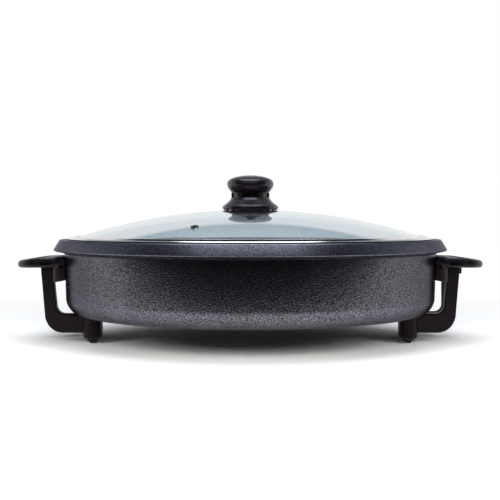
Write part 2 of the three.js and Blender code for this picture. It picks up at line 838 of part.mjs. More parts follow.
// Knob base: flange with small feet, stepped neck and posts with a window front and rear
function knobBase() {
  const bottom = knobBottom;
  const seatInner = seatRingRadius - seatRingWidth;
  let base = turned([
    [0, bottom],
    [seatInner, bottom],
    [seatInner, bottom - seatRingHeight],
    [seatRingRadius, bottom - seatRingHeight],
    [seatRingRadius, bottom],
    [flangeRadius, bottom],
    [flangeRadius, bottom + flangeHeight],
    [stepRadius, bottom + stepHeight],
    [neckRadius + neckFlare, bottom + (stepHeight + neckBaseHeight) / 2],
    [neckRadius, bottom + neckBaseHeight],
    [neckCore, bottom + neckBaseHeight],
    [neckCore, bottom + neckTopHeight],
    [0, bottom + neckTopHeight],
  ], 2 * smallSteps);
  const low = bottom + neckBaseHeight - overrun;
  const column = block(0, -neckPostWidth / 2, low, neckRadius, neckPostWidth / 2, bottom + neckTopHeight);
  const limit = bar(neckRadius, low, bottom + neckTopHeight, 2 * smallSteps);
  for (let i = 0; i < neckPosts; i += 1) {
    const turn = 360 * i / neckPosts;
    const window = turn === 90 || turn === 270;
    if (!window) base = base.add(column.rotate([0, 0, turn]).intersect(limit));
  }
  for (let i = 0; i < footPins; i += 1) {
    const pin = block(-footPinWidth / 2, -footPinWidth / 2, bottom - footPinHeight,
      footPinWidth / 2, footPinWidth / 2, bottom + flangeHeight / 2);
    base = base.add(pin.translate([footPinPlace, 0, 0]).rotate([0, 0, 360 * i / footPins]));
  }
  const spigot = bar(capSpigotRadius + clearance, bottom + neckTopHeight - capSpigotLength - clearance,
    bottom + neckTopHeight + overrun);
  const bore = bar(insertRadius + clearance, bottom - overrun, bottom + insertHeight + clearance);
  return piece('knob_base', base.subtract(spigot).subtract(bore), blackPlastic);
}

// Knob cap: hollow cone under a creased, domed top
function knobCap() {
  const bottom = capBottom;
  const crease = bottom + capCreaseHeight;
  const side = bottom + capUnderHeight;
  const top = bottom + capHeight;
  const outline = [
    [0, bottom - capSpigotLength],
    [capSpigotRadius, bottom - capSpigotLength],
    [capSpigotRadius, bottom],
    [neckRadius, bottom],
  ];
  const coneSteps = 3;
  for (let i = 1; i <= coneSteps; i += 1) {
    const share = i / coneSteps;
    const rise = Math.sin(share * quarterTurn);
    outline.push([neckRadius + (capRadius - neckRadius) * rise, bottom + (side - bottom) * share]);
  }
  outline.push([capRadius, (side + crease) / 2], [capRadius - clearance, crease]);
  for (const [c, s] of arc(0, 0, 1, 0, quarterTurn, 7)) {
    outline.push([capCrease * c, crease + clearance + (top - crease - clearance) * s]);
  }
  return piece('knob_cap', turned(outline, 2 * smallSteps), blackPlastic);
}

// Brass insert, screw, washer and gaskets that clamp the knob to the glass
function knobFixings() {
  const insertBottom = knobBottom + clearance;
  const insertTop = knobBottom + insertHeight;
  const glassUnder = domeApex - glassThickness;
  const gasketTop = glassUnder - clearance;
  const washerTop = gasketTop - gasketHeight - clearance;
  const headTop = washerTop - washerHeight - clearance;
  const bore = knobScrewShank / 2 + clearance;
  const head = bar(knobScrewHead / 2, headTop - knobScrewHeadHeight, headTop);
  const shank = bar(knobScrewShank / 2, headTop - knobScrewHeadHeight / 2, insertTop - clearance);
  const gasketSeat = domeApex + clearance;
  return [
    piece('knob_insert', ring(bore, insertRadius, insertBottom, insertTop), brass),
    piece('knob_screw', head.add(shank), brightSteel),
    piece('knob_washer', ring(bore, washerDiameter / 2, washerTop - washerHeight, washerTop), brightSteel),
    piece('knob_gasket_lower', ring(bore, gasketDiameter / 2, gasketTop - gasketHeight, gasketTop), silicone),
    piece('knob_gasket_upper', ring(insertRadius, upperGasketRadius, gasketSeat,
      gasketSeat + upperGasketHeight), blackRubber),
  ];
}

// Base: the pan and everything that stands on the table
function base() {
  const group = new THREE.Group();
  group.add(panBody(), heater());
  for (const [endName, end] of ends) group.add(...terminal(endName, end));
  group.add(terminalBlock(), socketShroud(), probeGuide(), earthContact());
  for (const [sideName, side] of sides) {
    group.add(handle(`${sideName}_handle`, side));
    for (const [endName, end] of ends) {
      group.add(leg(sideName, side, endName, end));
      group.add(legScrew(sideName, side, endName, end));
      group.add(footTip(sideName, side, endName, end));
    }
  }
  group.add(...handleScrews());
  return group;
}

// Lid: everything that lifts off
function lid() {
  const group = new THREE.Group();
  group.add(glassLid(), lidBand(), ventGrommet(), knobBase(), knobCap(), ...knobFixings());
  return group;
}

const pizzaMaker = new THREE.Group();
pizzaMaker.add(base(), lid());

export default pizzaMaker;
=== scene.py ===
# Electric pizza maker: fine surfaces, materials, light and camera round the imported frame.
# Shapes are worked out in millimetres and turned into metres when a piece is made.
import math
import bmesh
import bpy
from mathutils import Matrix, Vector
from mathutils.geometry import tessellate_polygon

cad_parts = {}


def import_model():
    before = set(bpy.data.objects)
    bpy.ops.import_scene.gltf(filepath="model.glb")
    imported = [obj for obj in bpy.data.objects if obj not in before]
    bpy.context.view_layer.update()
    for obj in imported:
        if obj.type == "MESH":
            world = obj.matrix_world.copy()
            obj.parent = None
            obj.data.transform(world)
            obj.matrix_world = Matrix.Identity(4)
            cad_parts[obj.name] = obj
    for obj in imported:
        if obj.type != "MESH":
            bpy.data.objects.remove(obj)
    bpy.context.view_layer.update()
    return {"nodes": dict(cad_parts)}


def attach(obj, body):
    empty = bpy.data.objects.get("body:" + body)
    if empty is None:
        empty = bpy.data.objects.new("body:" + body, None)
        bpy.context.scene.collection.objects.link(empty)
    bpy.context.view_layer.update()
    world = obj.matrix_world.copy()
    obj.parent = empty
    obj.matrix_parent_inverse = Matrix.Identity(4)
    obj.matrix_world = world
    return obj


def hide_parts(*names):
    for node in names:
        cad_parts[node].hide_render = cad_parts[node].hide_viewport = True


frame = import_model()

nodes = frame["nodes"]
scene = bpy.context.scene

MM = 0.001
TINY = 1e-6
QUARTER = math.pi / 2
CLEARANCE = 0.3
OVERRUN = 2.0
WIDE_STEPS, KNOB_STEPS, SMALL_STEPS = 320, 128, 48
CORNER_SHARE, SHARP_DEGREES = 0.48, 35

# Sizes in millimetres, as in the part's source: pan and heater
WALL_RADIUS, WALL_TAPER, WALL_THICKNESS, WALL_TOP = 200.0, 1.6, 4.0, 95.7
BOTTOM, FLOOR_TOP, RIM_TOP, CORNER = 31.0, 36.5, 110.3, 18.0
RIM_INNER, RIM_OUTER, FLARE, FLARE_HEIGHT = 196.0, 204.7, 201.8, 96.7
INSIDE_HIGH, INSIDE_LOW, INSIDE_TAPER_HIGH, INSIDE_TAPER_LOW = 85.0, 62.0, 0.5, 1.2
UNDERSIDE_RINGS, WALL_RINGS, FLOOR_RINGS = (0, 60, 86, 110, 150), (60, 72, 84, 92), (150, 100, 50, 0)
COAT_MARGIN, COAT_DEPTH = 0.2, 1.5
SKIRT_UNDER, SKIRT_UNDER_HEIGHT, SKIRT_LIP, SKIRT_LIP_HEIGHT = 209.7, 98.5, 210.9, 98.9
SKIRT_TIP, SKIRT_TIP_HEIGHT, SKIRT_TOP, SKIRT_TOP_HEIGHT = 211.3, 99.7, 205.6, 109.4
CHANNEL_HALF, CHANNEL_WALL, CHANNEL_DEPTH, CHANNEL_SINK, CHANNEL_EDGE = 3.6, 3.0, 5.6, 0.5, 0.8
HEATER_RADIUS, HEATER_TUBE, HEATER_HEIGHT = 97.0, 3.05, 27.65
TAIL_X, TAIL_HALF, TAIL_BEND, TAIL_TOP = 213.3, 8.5, 11.0, 65.8
TAIL_MIDDLE_X, TAIL_MIDDLE_HEIGHT = 150.0, 50.0

# Handles, lugs and handle screws
HANDLE_HALF, GRIP_TOP, GRIP_THICKNESS, GRIP_ROUND = 50.0, 91.9, 10.6, 3.9
GRIP_DROOP, TIP_DROOP, TIP_START = 3.0, 1.5, 227.8
GRIP_REACH, SHELF_REACH, GRIP_BAR, HOLE_HALF = 51.5, 26.0, 11.3, 35.0
BLOCK_BOTTOM, BLOCK_TOP, BLOCK_REACH, BLOCK_ROUND, BLOCK_EDGE = 67.8, 92.3, 8.6, 13.0, 1.2
BLOCK_SLOPE, BLOCK_SLOPE_START, WEDGE_HALF, WEDGE_HEIGHT = 0.19, 5.6, 60.0, 20.0
GROOVE_LENGTH, GROOVE_HEIGHT, GROOVE_DEPTH, GROOVE_TOP = 21.0, 4.6, 7.0, 88.6
LUG_PLACE, LUG_HALF, LUG_REACH, LUG_SINK = 39.0, 1.5, 4.6, 3.0
LUG_HEIGHT, LUG_MIDDLE, LUG_EDGE, SHROUD_HALF = 16.0, 82.6, 0.4, 15.5
LUG_START = math.sqrt(WALL_RADIUS ** 2 - LUG_PLACE ** 2) - LUG_SINK
LUG_SCREW_X, SCREW_SHANK, SCREW_HEAD, SCREW_HEAD_HEIGHT = 198.0, 1.25, 1.6, 1.6
SCREW_POCKET, SCREW_LENGTH, RECESS_ARM, RECESS_WIDTH, RECESS_DEPTH = 1.6, 12.0, 0.55, 0.13, 0.55

# Legs, posts and foot tips
LEG_PLACE, LEG_DEPTH, LEG_EDGE = 26.0, 11.0, 1.1
LEG_TOP_WIDTH, LEG_LOW_WIDTH, LEG_KNEE_TRIM = 13.6, 12.2, 1.1
LEG_TOP_REACH, LEG_KNEE_REACH, LEG_LOW_REACH = 9.3, 8.9, 6.4
LEG_KNEE_HEIGHT, LEG_BAR_TOP, LEG_BAR_HEIGHT = 64.0, 30.4, 19.1
LEG_OUTER_ROUND, LEG_INNER_ROUND, LEG_BAR_RISE, LEG_BAR_RAMP = 20.0, 9.0, 1.2, 4.8
REAR_TOP_SHIFT, REAR_KNEE_SHIFT, REAR_POST_SHIFT, REAR_BAR_DROP = 3.0, 10.2, 8.1, 6.2
POST_PLACE, POST_WIDTH, POST_DEPTH, POST_BOTTOM, POST_EDGE = 168.0, 19.6, 28.0, 5.2, 3.4
POST_POCKET, POST_HOLE, POST_POCKET_TOP = 3.9, 2.1, 15.0
TIP_FLAT, TIP_HIP, TIP_HIP_HEIGHT, TIP_RADIUS, TIP_RADIUS_HEIGHT = 3.0, 4.6, 1.6, 6.2, 4.1
TIP_PLUG, TIP_PLUG_LENGTH = 3.6, 5.6

# Glass, steel band and vent
GLASS_RADIUS, GLASS_THICKNESS, GLASS_HOLE = 190.0, 4.0, 4.5
GLASS_EDGE, GLASS_BULGE, GLASS_EDGE_HALF = 1.6, 0.5, 1.2
DOME_APEX, DOME_RISE = 142.1, 30.4
DOME_RADIUS = (GLASS_RADIUS ** 2 + DOME_RISE ** 2) / (2 * DOME_RISE)
DOME_CENTRE = DOME_APEX - DOME_RADIUS
BAND_LIP, BAND_SKIN, BAND_ROLL = 3.6, 1.0, 0.2
BAND_SEAT, BAND_RADIUS, BAND_SHOULDER, BAND_EDGE, BAND_SEAT_HEIGHT = 196.2, 197.3, 196.4, 0.6, 1.6
VENT_RADIUS, VENT_DIRECTION, VENT_HOLE, VENT_BORE = 144.3, -1.951, 3.5, 1.8
VENT_NECK, VENT_FLANGE, VENT_LIP = 3.2, 4.1, 0.6

# Knob; its heights are above the knob's bottom, the cap's above the cap's bottom
KNOB_BOTTOM, KNOB_BORE, KNOB_BORE_TOP = 143.1, 4.9, 12.3
SEAT_INNER, SEAT_OUTER, SEAT_DEPTH, FLANGE_RADIUS, FLANGE_HEIGHT = 20.0, 24.0, 1.05, 30.6, 2.7
STEP_RADIUS, STEP_HEIGHT, WAIST_RADIUS, WAIST_HEIGHT = 25.1, 7.0, 22.4, 9.6
NECK_RADIUS, NECK_HEIGHT = 20.9, 12.2
STUD_RADIUS, STUD_HEIGHT, STUD_BORE, STUD_FLOOR = 11.5, 17.8, 4.3, 14.5
KNOB_POST_HALF, KNOB_POST_START, KNOB_POST_FOOT, KNOB_POST_EDGE = 4.65, 10.0, 11.5, 0.35
KNOB_FEET, FOOT_PLACE, FOOT_HALF, FOOT_DROP, FOOT_RISE, FOOT_EDGE = 16, 27.4, 1.6, 1.4, 1.35, 0.3
CAP_BOTTOM, CAP_INNER, CAP_EDGE, CAP_CONE, CAP_SIDE, CAP_CREASE = 18.1, 20.2, 0.5, 8.1, 9.5, 10.2
CAP_RADIUS, CAP_DOME, CAP_TOP, CAP_GROOVE = 25.4, 25.2, 18.6, 0.15
CAP_STUD, CAP_STUD_LENGTH, CAP_STUD_EDGE = 4.0, 3.0, 0.4
KNOB_SCREW_BOTTOM, KNOB_SCREW_HEAD, KNOB_SCREW_HEAD_HEIGHT = 131.5, 5.0, 3.0
KNOB_SCREW_SHANK, KNOB_SCREW_LENGTH = 2.2, 23.3

# Mouldings: size of the cells that melt their edges together, and share of faces kept
HANDLE_CELL, HANDLE_KEEP, LEG_CELL, LEG_KEEP = 0.6, 0.22, 0.55, 0.25


# Shapes

def arc(x, y, radius, start, end, steps):
    """Points on an arc from one angle to another."""
    angles = [start + (end - start) * i / steps for i in range(steps + 1)]
    return [(x + radius * math.cos(a), y + radius * math.sin(a)) for a in angles]


def rounded(corners, steps=5):
    """Closed outline from corners (x, y, radius), each one rounded."""
    outline = []
    for i, (x, y, radius) in enumerate(corners):
        if not radius:
            outline.append((x, y))
            continue
        here = Vector((x, y))
        back = Vector(corners[i - 1][:2]) - here
        ahead = Vector(corners[(i + 1) % len(corners)][:2]) - here
        reach = min(radius / math.tan(back.angle(ahead) / 2), min(back.length, ahead.length) * CORNER_SHARE)
        start = here + back.normalized() * reach
        end = here + ahead.normalized() * reach
        for k in range(steps + 1):
            t = k / steps
            point = start * (1 - t) ** 2 + here * (2 * t * (1 - t)) + end * t ** 2
            outline.append((point.x, point.y))
    return outline


def revolve(bm, outline, steps, start=0.0, end=math.tau, closed=False, finish=None):
    """Sweeps an outline of (radius, height) about Z; finish gives a face's material from its middle."""
    whole = end - start > math.tau - TINY
    count = steps if whole else steps + 1
    turns = [start + (end - start) * i / steps for i in range(count)]
    rings = []
    for radius, height in outline:
        if radius < TINY:
            rings.append([bm.verts.new((0, 0, height))] * count)
        else:
            rings.append([bm.verts.new((radius * math.cos(a), radius * math.sin(a), height)) for a in turns])
    pairs = list(zip(rings, rings[1:])) + ([(rings[-1], rings[0])] if closed else [])
    for low, high in pairs:
        for i in range(steps):
            j = (i + 1) % count
            corners = list(dict.fromkeys([low[i], low[j], high[j], high[i]]))
            if len(corners) > 2:
                face = bm.faces.new(corners)
                if finish:
                    middle = face.calc_center_median()
                    face.material_index = finish(math.hypot(middle.x, middle.y), middle.z)
    if not whole:
        bm.faces.new([ring[0] for ring in rings])
        bm.faces.new([ring[-1] for ring in rings])
    return bm


def inset(outline, amount):
    """Moves a counter-clockwise outline inwards by an amount."""
    points = []
    for i, p in enumerate(outline):
        before = (Vector(p) - Vector(outline[i - 1])).normalized()
        after = (Vector(outline[(i + 1) % len(outline)]) - Vector(p)).normalized()
        first, second = Vector((-before.y, before.x)), Vector((-after.y, after.x))
        step = (first + second) * (amount / (1 + first.dot(second)))
        points.append((p[0] + step.x, p[1] + step.y))
    return points


def prism(outline, bottom, top, edge=0.0, hole=None, steps=4):
    """Outline in X and Y raised from bottom to top, with rounded edges and perhaps a hole."""
    bm = bmesh.new()
    bends = [(edge * (1 - math.cos(a)), edge * (1 - math.sin(a)))
             for a in (QUARTER * i / steps for i in range(steps + 1))] if edge else [(0, 0)]
    levels = [(bottom + z, amount) for z, amount in bends]
    levels += [(top - z, amount) for z, amount in reversed(bends)]
    caps = [[], []]
    for loop, sign in ((outline, 1), (hole, -1)):
        if not loop:
            continue
        rings = [[bm.verts.new((x, y, z)) for x, y in inset(loop, sign * amount)] for z, amount in levels]
        for low, high in zip(rings, rings[1:]):
            for i in range(len(loop)):
                j = (i + 1) % len(loop)
                bm.faces.new((low[i], low[j], high[j], high[i]))
        caps[0].append(rings[0])
        caps[1].append(rings[-1])
    for cap in caps:
        flat = [v for ring in cap for v in ring]
        for triangle in tessellate_polygon([[v.co for v in ring] for ring in cap]):
            bm.faces.new([flat[i] for i in triangle])
    return bm


def box(x0, y0, z0, x1, y1, z1, edge=0.0):
    """Box between two corners, with rounded upright and level edges."""
    corners = [(x0, y0, edge), (x1, y0, edge), (x1, y1, edge), (x0, y1, edge)]
    return prism(rounded(corners, 3) if edge else [c[:2] for c in corners], z0, z1, edge, steps=3)


def rod(radius, start, end, steps=32):
    """Round bar along Z."""
    return revolve(bmesh.new(), [(0, start), (radius, start), (radius, end), (0, end)], steps)


def moved(bm, matrix):
    """Turns and shifts a shape."""
    bmesh.ops.transform(bm, matrix=matrix, verts=bm.verts)
    return bm


def merged(first, *others):
    """One bmesh that holds several."""
    for other in others:
        held = bpy.data.meshes.new("held")
        other.to_mesh(held)
        other.free()
        first.from_mesh(held)
        bpy.data.meshes.remove(held)
    return first


def work_object(bm):
    """Scratch object for modifiers."""
    bmesh.ops.recalc_face_normals(bm, faces=bm.faces)
    mesh = bpy.data.meshes.new("work")
    bm.to_mesh(mesh)
    bm.free()
    obj = bpy.data.objects.new("work", mesh)
    scene.collection.objects.link(obj)
    return obj


def shaped(first, cuts=(), joins=(), cell=0.0, keep=1.0):
    """Joins and cuts shapes, then perhaps melts their edges together like a moulding."""
    target = work_object(first)
    for tools, operation in ((joins, "UNION"), (cuts, "DIFFERENCE")):
        for tool in tools:
            other = work_object(tool)
            change = target.modifiers.new("change", "BOOLEAN")
            change.operation, change.solver, change.object = operation, "EXACT", other
            settle(target)
            bpy.data.objects.remove(other)
    if cell:
        remesh = target.modifiers.new("remesh", "REMESH")
        remesh.mode, remesh.voxel_size = "VOXEL", cell
        relax = target.modifiers.new("relax", "SMOOTH")
        relax.factor, relax.iterations = 0.5, 3
        thin = target.modifiers.new("thin", "DECIMATE")
        thin.ratio = keep
        settle(target)
    bm = bmesh.new()
    bm.from_mesh(target.data)
    bpy.data.objects.remove(target)
    return bm


def settle(obj):
    """Applies an object's modifiers."""
    deps = bpy.context.evaluated_depsgraph_get()
    mesh = bpy.data.meshes.new_from_object(obj.evaluated_get(deps))
    obj.modifiers.clear()
    obj.data = mesh


def mirrored(bm, side):
    """Mirrors a shape that was made for +X when side is -1."""
    return moved(bm, Matrix.Diagonal((side, 1, 1, 1)))


def made(name, bm, body, slot, materials, *replaced, sharp=SHARP_DEGREES):
    """Turns a shape into a piece in metres that rides on a body."""
    bmesh.ops.scale(bm, vec=(MM, MM, MM), verts=bm.verts)
    bmesh.ops.recalc_face_normals(bm, faces=bm.faces)
    for face in bm.faces:
        face.smooth = True
    for edge in bm.edges:
        edge.smooth = not (len(edge.link_faces) == 2 and edge.calc_face_angle(0) > math.radians(sharp))
    mesh = bpy.data.meshes.new(name)
    bm.to_mesh(mesh)
    bm.free()
    obj = bpy.data.objects.new(name, mesh)
    scene.collection.objects.link(obj)
    for look in materials:
        mesh.materials.append(look)
    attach(obj, body)
    if replaced:
        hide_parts(*replaced)


# Materials

# Range that a noise mostly keeps to, and the tint of the gloss on the plastics and coats
NOISE_LOW, NOISE_HIGH = 0.3, 0.7
PLASTIC_TINT = (1.0, 0.84, 0.95, 1)
WALL_TINT = (0.5, 0.5, 0.52, 1)
RIM_TINT = (0.4, 0.4, 0.42, 1)


def feed(tree, node, values):
    """Links outputs to a node's sockets, or sets the sockets where plain values are given."""
    for key, value in values.items():
        if isinstance(value, bpy.types.NodeSocket):
            tree.links.new(value, node.inputs[key])
        else:
            node.inputs[key].default_value = value


def new_material(name, colour, roughness, metallic=0.0):
    """Principled material with its nodes and shader."""
    look = bpy.data.materials.new(name)
    look.use_nodes = True
    tree = look.node_tree
    shader = tree.nodes["Principled BSDF"]
    feed(tree, shader, {"Base Color": (*colour, 1), "Roughness": roughness, "Metallic": metallic})
    return look, tree, shader


def texture(tree, kind, scale, **values):
    """Noise or Voronoi texture on object coordinates, in metres."""
    place = tree.nodes.new("ShaderNodeTexCoord")
    node = tree.nodes.new(kind)
    feed(tree, node, {"Vector": place.outputs["Object"], "Scale": scale, **values})
    return node


def ramp(tree, source, stops):
    """Colour ramp with (place, colour) stops."""
    node = tree.nodes.new("ShaderNodeValToRGB")
    while len(node.color_ramp.elements) < len(stops):
        node.color_ramp.elements.new(0.5)
    for element, (place, colour) in zip(node.color_ramp.elements, stops):
        element.position = place
        element.color = (*colour, 1)
    feed(tree, node, {"Fac": source})
    return node.outputs["Color"]


def spread(tree, source, low, high, to_low, to_high):
    """Maps a range of a value to another."""
    node = tree.nodes.new("ShaderNodeMapRange")
    feed(tree, node, {"Value": source, "From Min": low, "From Max": high,
                      "To Min": to_low, "To Max": to_high})
    return node.outputs["Result"]


def mixed_colour(tree, factor, first, second, kind="MIX"):
    """Mix of two colours."""
    node = tree.nodes.new("ShaderNodeMix")
    node.data_type, node.blend_type = "RGBA", kind
    feed(tree, node, {"Factor": factor, "A": first, "B": second})
    return node.outputs["Result"]


def mixed_shader(tree, factor, first, second):
    """Mix of two shaders."""
    node = tree.nodes.new("ShaderNodeMixShader")
    feed(tree, node, {0: factor, 1: first, 2: second})
    return node.outputs["Shader"]


def reckoned(tree, operation, first, second):
    """Sum, product or larger of two values, held between 0 and 1."""
    node = tree.nodes.new("ShaderNodeMath")
    node.operation, node.use_clamp = operation, True
    feed(tree, node, {0: first, 1: second})
    return node.outputs["Value"]


def bump(tree, height, strength, distance):
    """Relief of a depth in metres."""
    node = tree.nodes.new("ShaderNodeBump")
    feed(tree, node, {"Height": height, "Strength": strength, "Distance": distance})
    return node.outputs["Normal"]


def textured(name, dark, light, roughness, rough_spread, scale, depth, metallic=0.0, gloss=None):
    """Material whose colour, roughness and relief vary with one noise."""
    look, tree, shader = new_material(name, light, roughness, metallic)
    grain = texture(tree, "ShaderNodeTexNoise", scale, Detail=3.0, Roughness=0.6).outputs["Fac"]
    feed(tree, shader, {
        "Base Color": ramp(tree, grain, [(NOISE_LOW, dark), (NOISE_HIGH, light)]),
        "Roughness": spread(tree, grain, NOISE_LOW, NOISE_HIGH, roughness - rough_spread,
                            roughness + rough_spread),
        "Normal": bump(tree, grain, 1.0, depth)})
    if gloss is not None:
        feed(tree, shader, {"Specular IOR Level": gloss, "Specular Tint": PLASTIC_TINT})
    return look


def hammertone():
    """Dark grey coat with small hammered dents and light flecks."""
    look, tree, shader = new_material("hammertone_coat", (0.12, 0.11, 0.13), 0.2, 1.0)
    dents = texture(tree, "ShaderNodeTexNoise", 920.0, Detail=1.0, Roughness=0.5).outputs["Fac"]
    cloud = texture(tree, "ShaderNodeTexNoise", 30.0, Detail=2.0).outputs["Fac"]
    colour = ramp(tree, dents, [
        (0.36, (0.042, 0.0395, 0.046)), (0.5, (0.104, 0.099, 0.114)), (0.64, (0.214, 0.203, 0.232))])
    shade = ramp(tree, cloud, [(0.35, (0.88, 0.87, 0.88)), (0.65, (1.0, 1.0, 1.0))])
    feed(tree, shader, {
        "Base Color": mixed_colour(tree, 1.0, colour, shade, "MULTIPLY"),
        "Roughness": spread(tree, dents, 0.35, 0.65, 0.24, 0.16),
        "Specular Tint": WALL_TINT,
        "Normal": bump(tree, dents, 1.0, 0.00015)})
    return look


def smooth_coat():
    """Fine metallic grey coat of the rim."""
    look, tree, shader = new_material("rim_coat", (0.09, 0.09, 0.11), 0.32, 1.0)
    flakes = texture(tree, "ShaderNodeTexNoise", 800.0, Detail=1.0).outputs["Fac"]
    feed(tree, shader, {
        "Base Color": ramp(tree, flakes, [(0.36, (0.08, 0.076, 0.094)), (0.64, (0.2, 0.193, 0.228))]),
        "Specular Tint": RIM_TINT,
        "Normal": bump(tree, flakes, 0.7, 0.0001)})
    return look


def non_stick():
    """Black cooking surface with faint flecks."""
    look, tree, shader = new_material("non_stick", (0.02, 0.02, 0.021), 0.36)
    flecks = texture(tree, "ShaderNodeTexVoronoi", 700.0).outputs["Distance"]
    grain = texture(tree, "ShaderNodeTexNoise", 900.0, Detail=2.0).outputs["Fac"]
    feed(tree, shader, {
        "Base Color": ramp(tree, flecks, [(0.08, (0.075, 0.075, 0.08)), (0.16, (0.017, 0.017, 0.018))]),
        "Normal": bump(tree, grain, 0.5, 0.00008)})
    return look


def clear_glass():
    """Tempered glass that lets light through to what is under it."""
    look, tree, shader = new_material("tempered_glass", (0.86, 0.93, 0.98), 0.0)
    haze = texture(tree, "ShaderNodeTexNoise", 14.0, Detail=2.0).outputs["Fac"]
    feed(tree, shader, {"Transmission Weight": 1.0, "IOR": 1.5,
                        "Roughness": spread(tree, haze, NOISE_LOW, NOISE_HIGH, 0.0, 0.012)})
    path = tree.nodes.new("ShaderNodeLightPath")
    clear = tree.nodes.new("ShaderNodeBsdfTransparent")
    feed(tree, clear, {"Color": (0.86, 0.92, 0.92, 1)})
    mix = mixed_shader(tree, path.outputs["Is Shadow Ray"], shader.outputs["BSDF"], clear.outputs["BSDF"])
    feed(tree, tree.nodes["Material Output"], {"Surface": mix})
    return look


def turned_steel():
    """Polished rolled steel with faint smudges."""
    look, tree, shader = new_material("polished_steel", (0.74, 0.70, 0.67), 0.14, 1.0)
    smudge = texture(tree, "ShaderNodeTexNoise", 60.0, Detail=4.0).outputs["Fac"]
    feed(tree, shader, {
        "Base Color": ramp(tree, smudge, [
            (NOISE_LOW, (0.70, 0.66, 0.63)), (NOISE_HIGH, (0.78, 0.74, 0.71))]),
        "Roughness": spread(tree, smudge, NOISE_LOW, NOISE_HIGH, 0.08, 0.2)})
    return look


WALL_COAT = hammertone()
RIM_COAT = smooth_coat()
INSIDE_COAT = non_stick()
GLASS = clear_glass()
STEEL_BAND = turned_steel()
HANDLE_PLASTIC = textured("handle_plastic", (0.0022, 0.0012, 0.0021), (0.0036, 0.0021, 0.0034),
                          0.4, 0.06, 1100.0, 0.00002, gloss=0.22)
KNOB_PLASTIC = textured("knob_plastic", (0.0012, 0.0007, 0.0011), (0.0022, 0.0014, 0.0021),
                        0.25, 0.04, 1300.0, 0.000012, gloss=0.8)
PLATED_STEEL = textured("plated_steel", (0.50, 0.50, 0.49), (0.64, 0.64, 0.63),
                        0.3, 0.07, 400.0, 0.00001, metallic=1.0)
BLACK_STEEL = textured("black_steel", (0.02, 0.02, 0.02), (0.045, 0.045, 0.045),
                       0.42, 0.06, 400.0, 0.00001, metallic=1.0)
HEATER_STEEL = textured("heater_steel", (0.14, 0.12, 0.11), (0.30, 0.27, 0.25),
                        0.48, 0.08, 160.0, 0.00003, metallic=0.9)
CERAMIC = textured("ceramic", (0.66, 0.62, 0.55), (0.80, 0.77, 0.70), 0.62, 0.05, 700.0, 0.00004)
BRASS = textured("brass", (0.60, 0.43, 0.17), (0.75, 0.57, 0.26),
                 0.28, 0.06, 500.0, 0.00001, metallic=1.0)
RUBBER = textured("foot_rubber", (0.004, 0.004, 0.004), (0.009, 0.009, 0.009), 0.78, 0.06, 900.0, 0.00005)
SILICONE = textured("silicone", (0.60, 0.58, 0.55), (0.72, 0.70, 0.67), 0.6, 0.05, 500.0, 0.00003)


# Pan

def wall_at(height):
    """Outer radius of the wall at a height."""
    low = BOTTOM + CORNER
    return WALL_RADIUS - WALL_TAPER * (1 - (height - low) / (WALL_TOP - low))


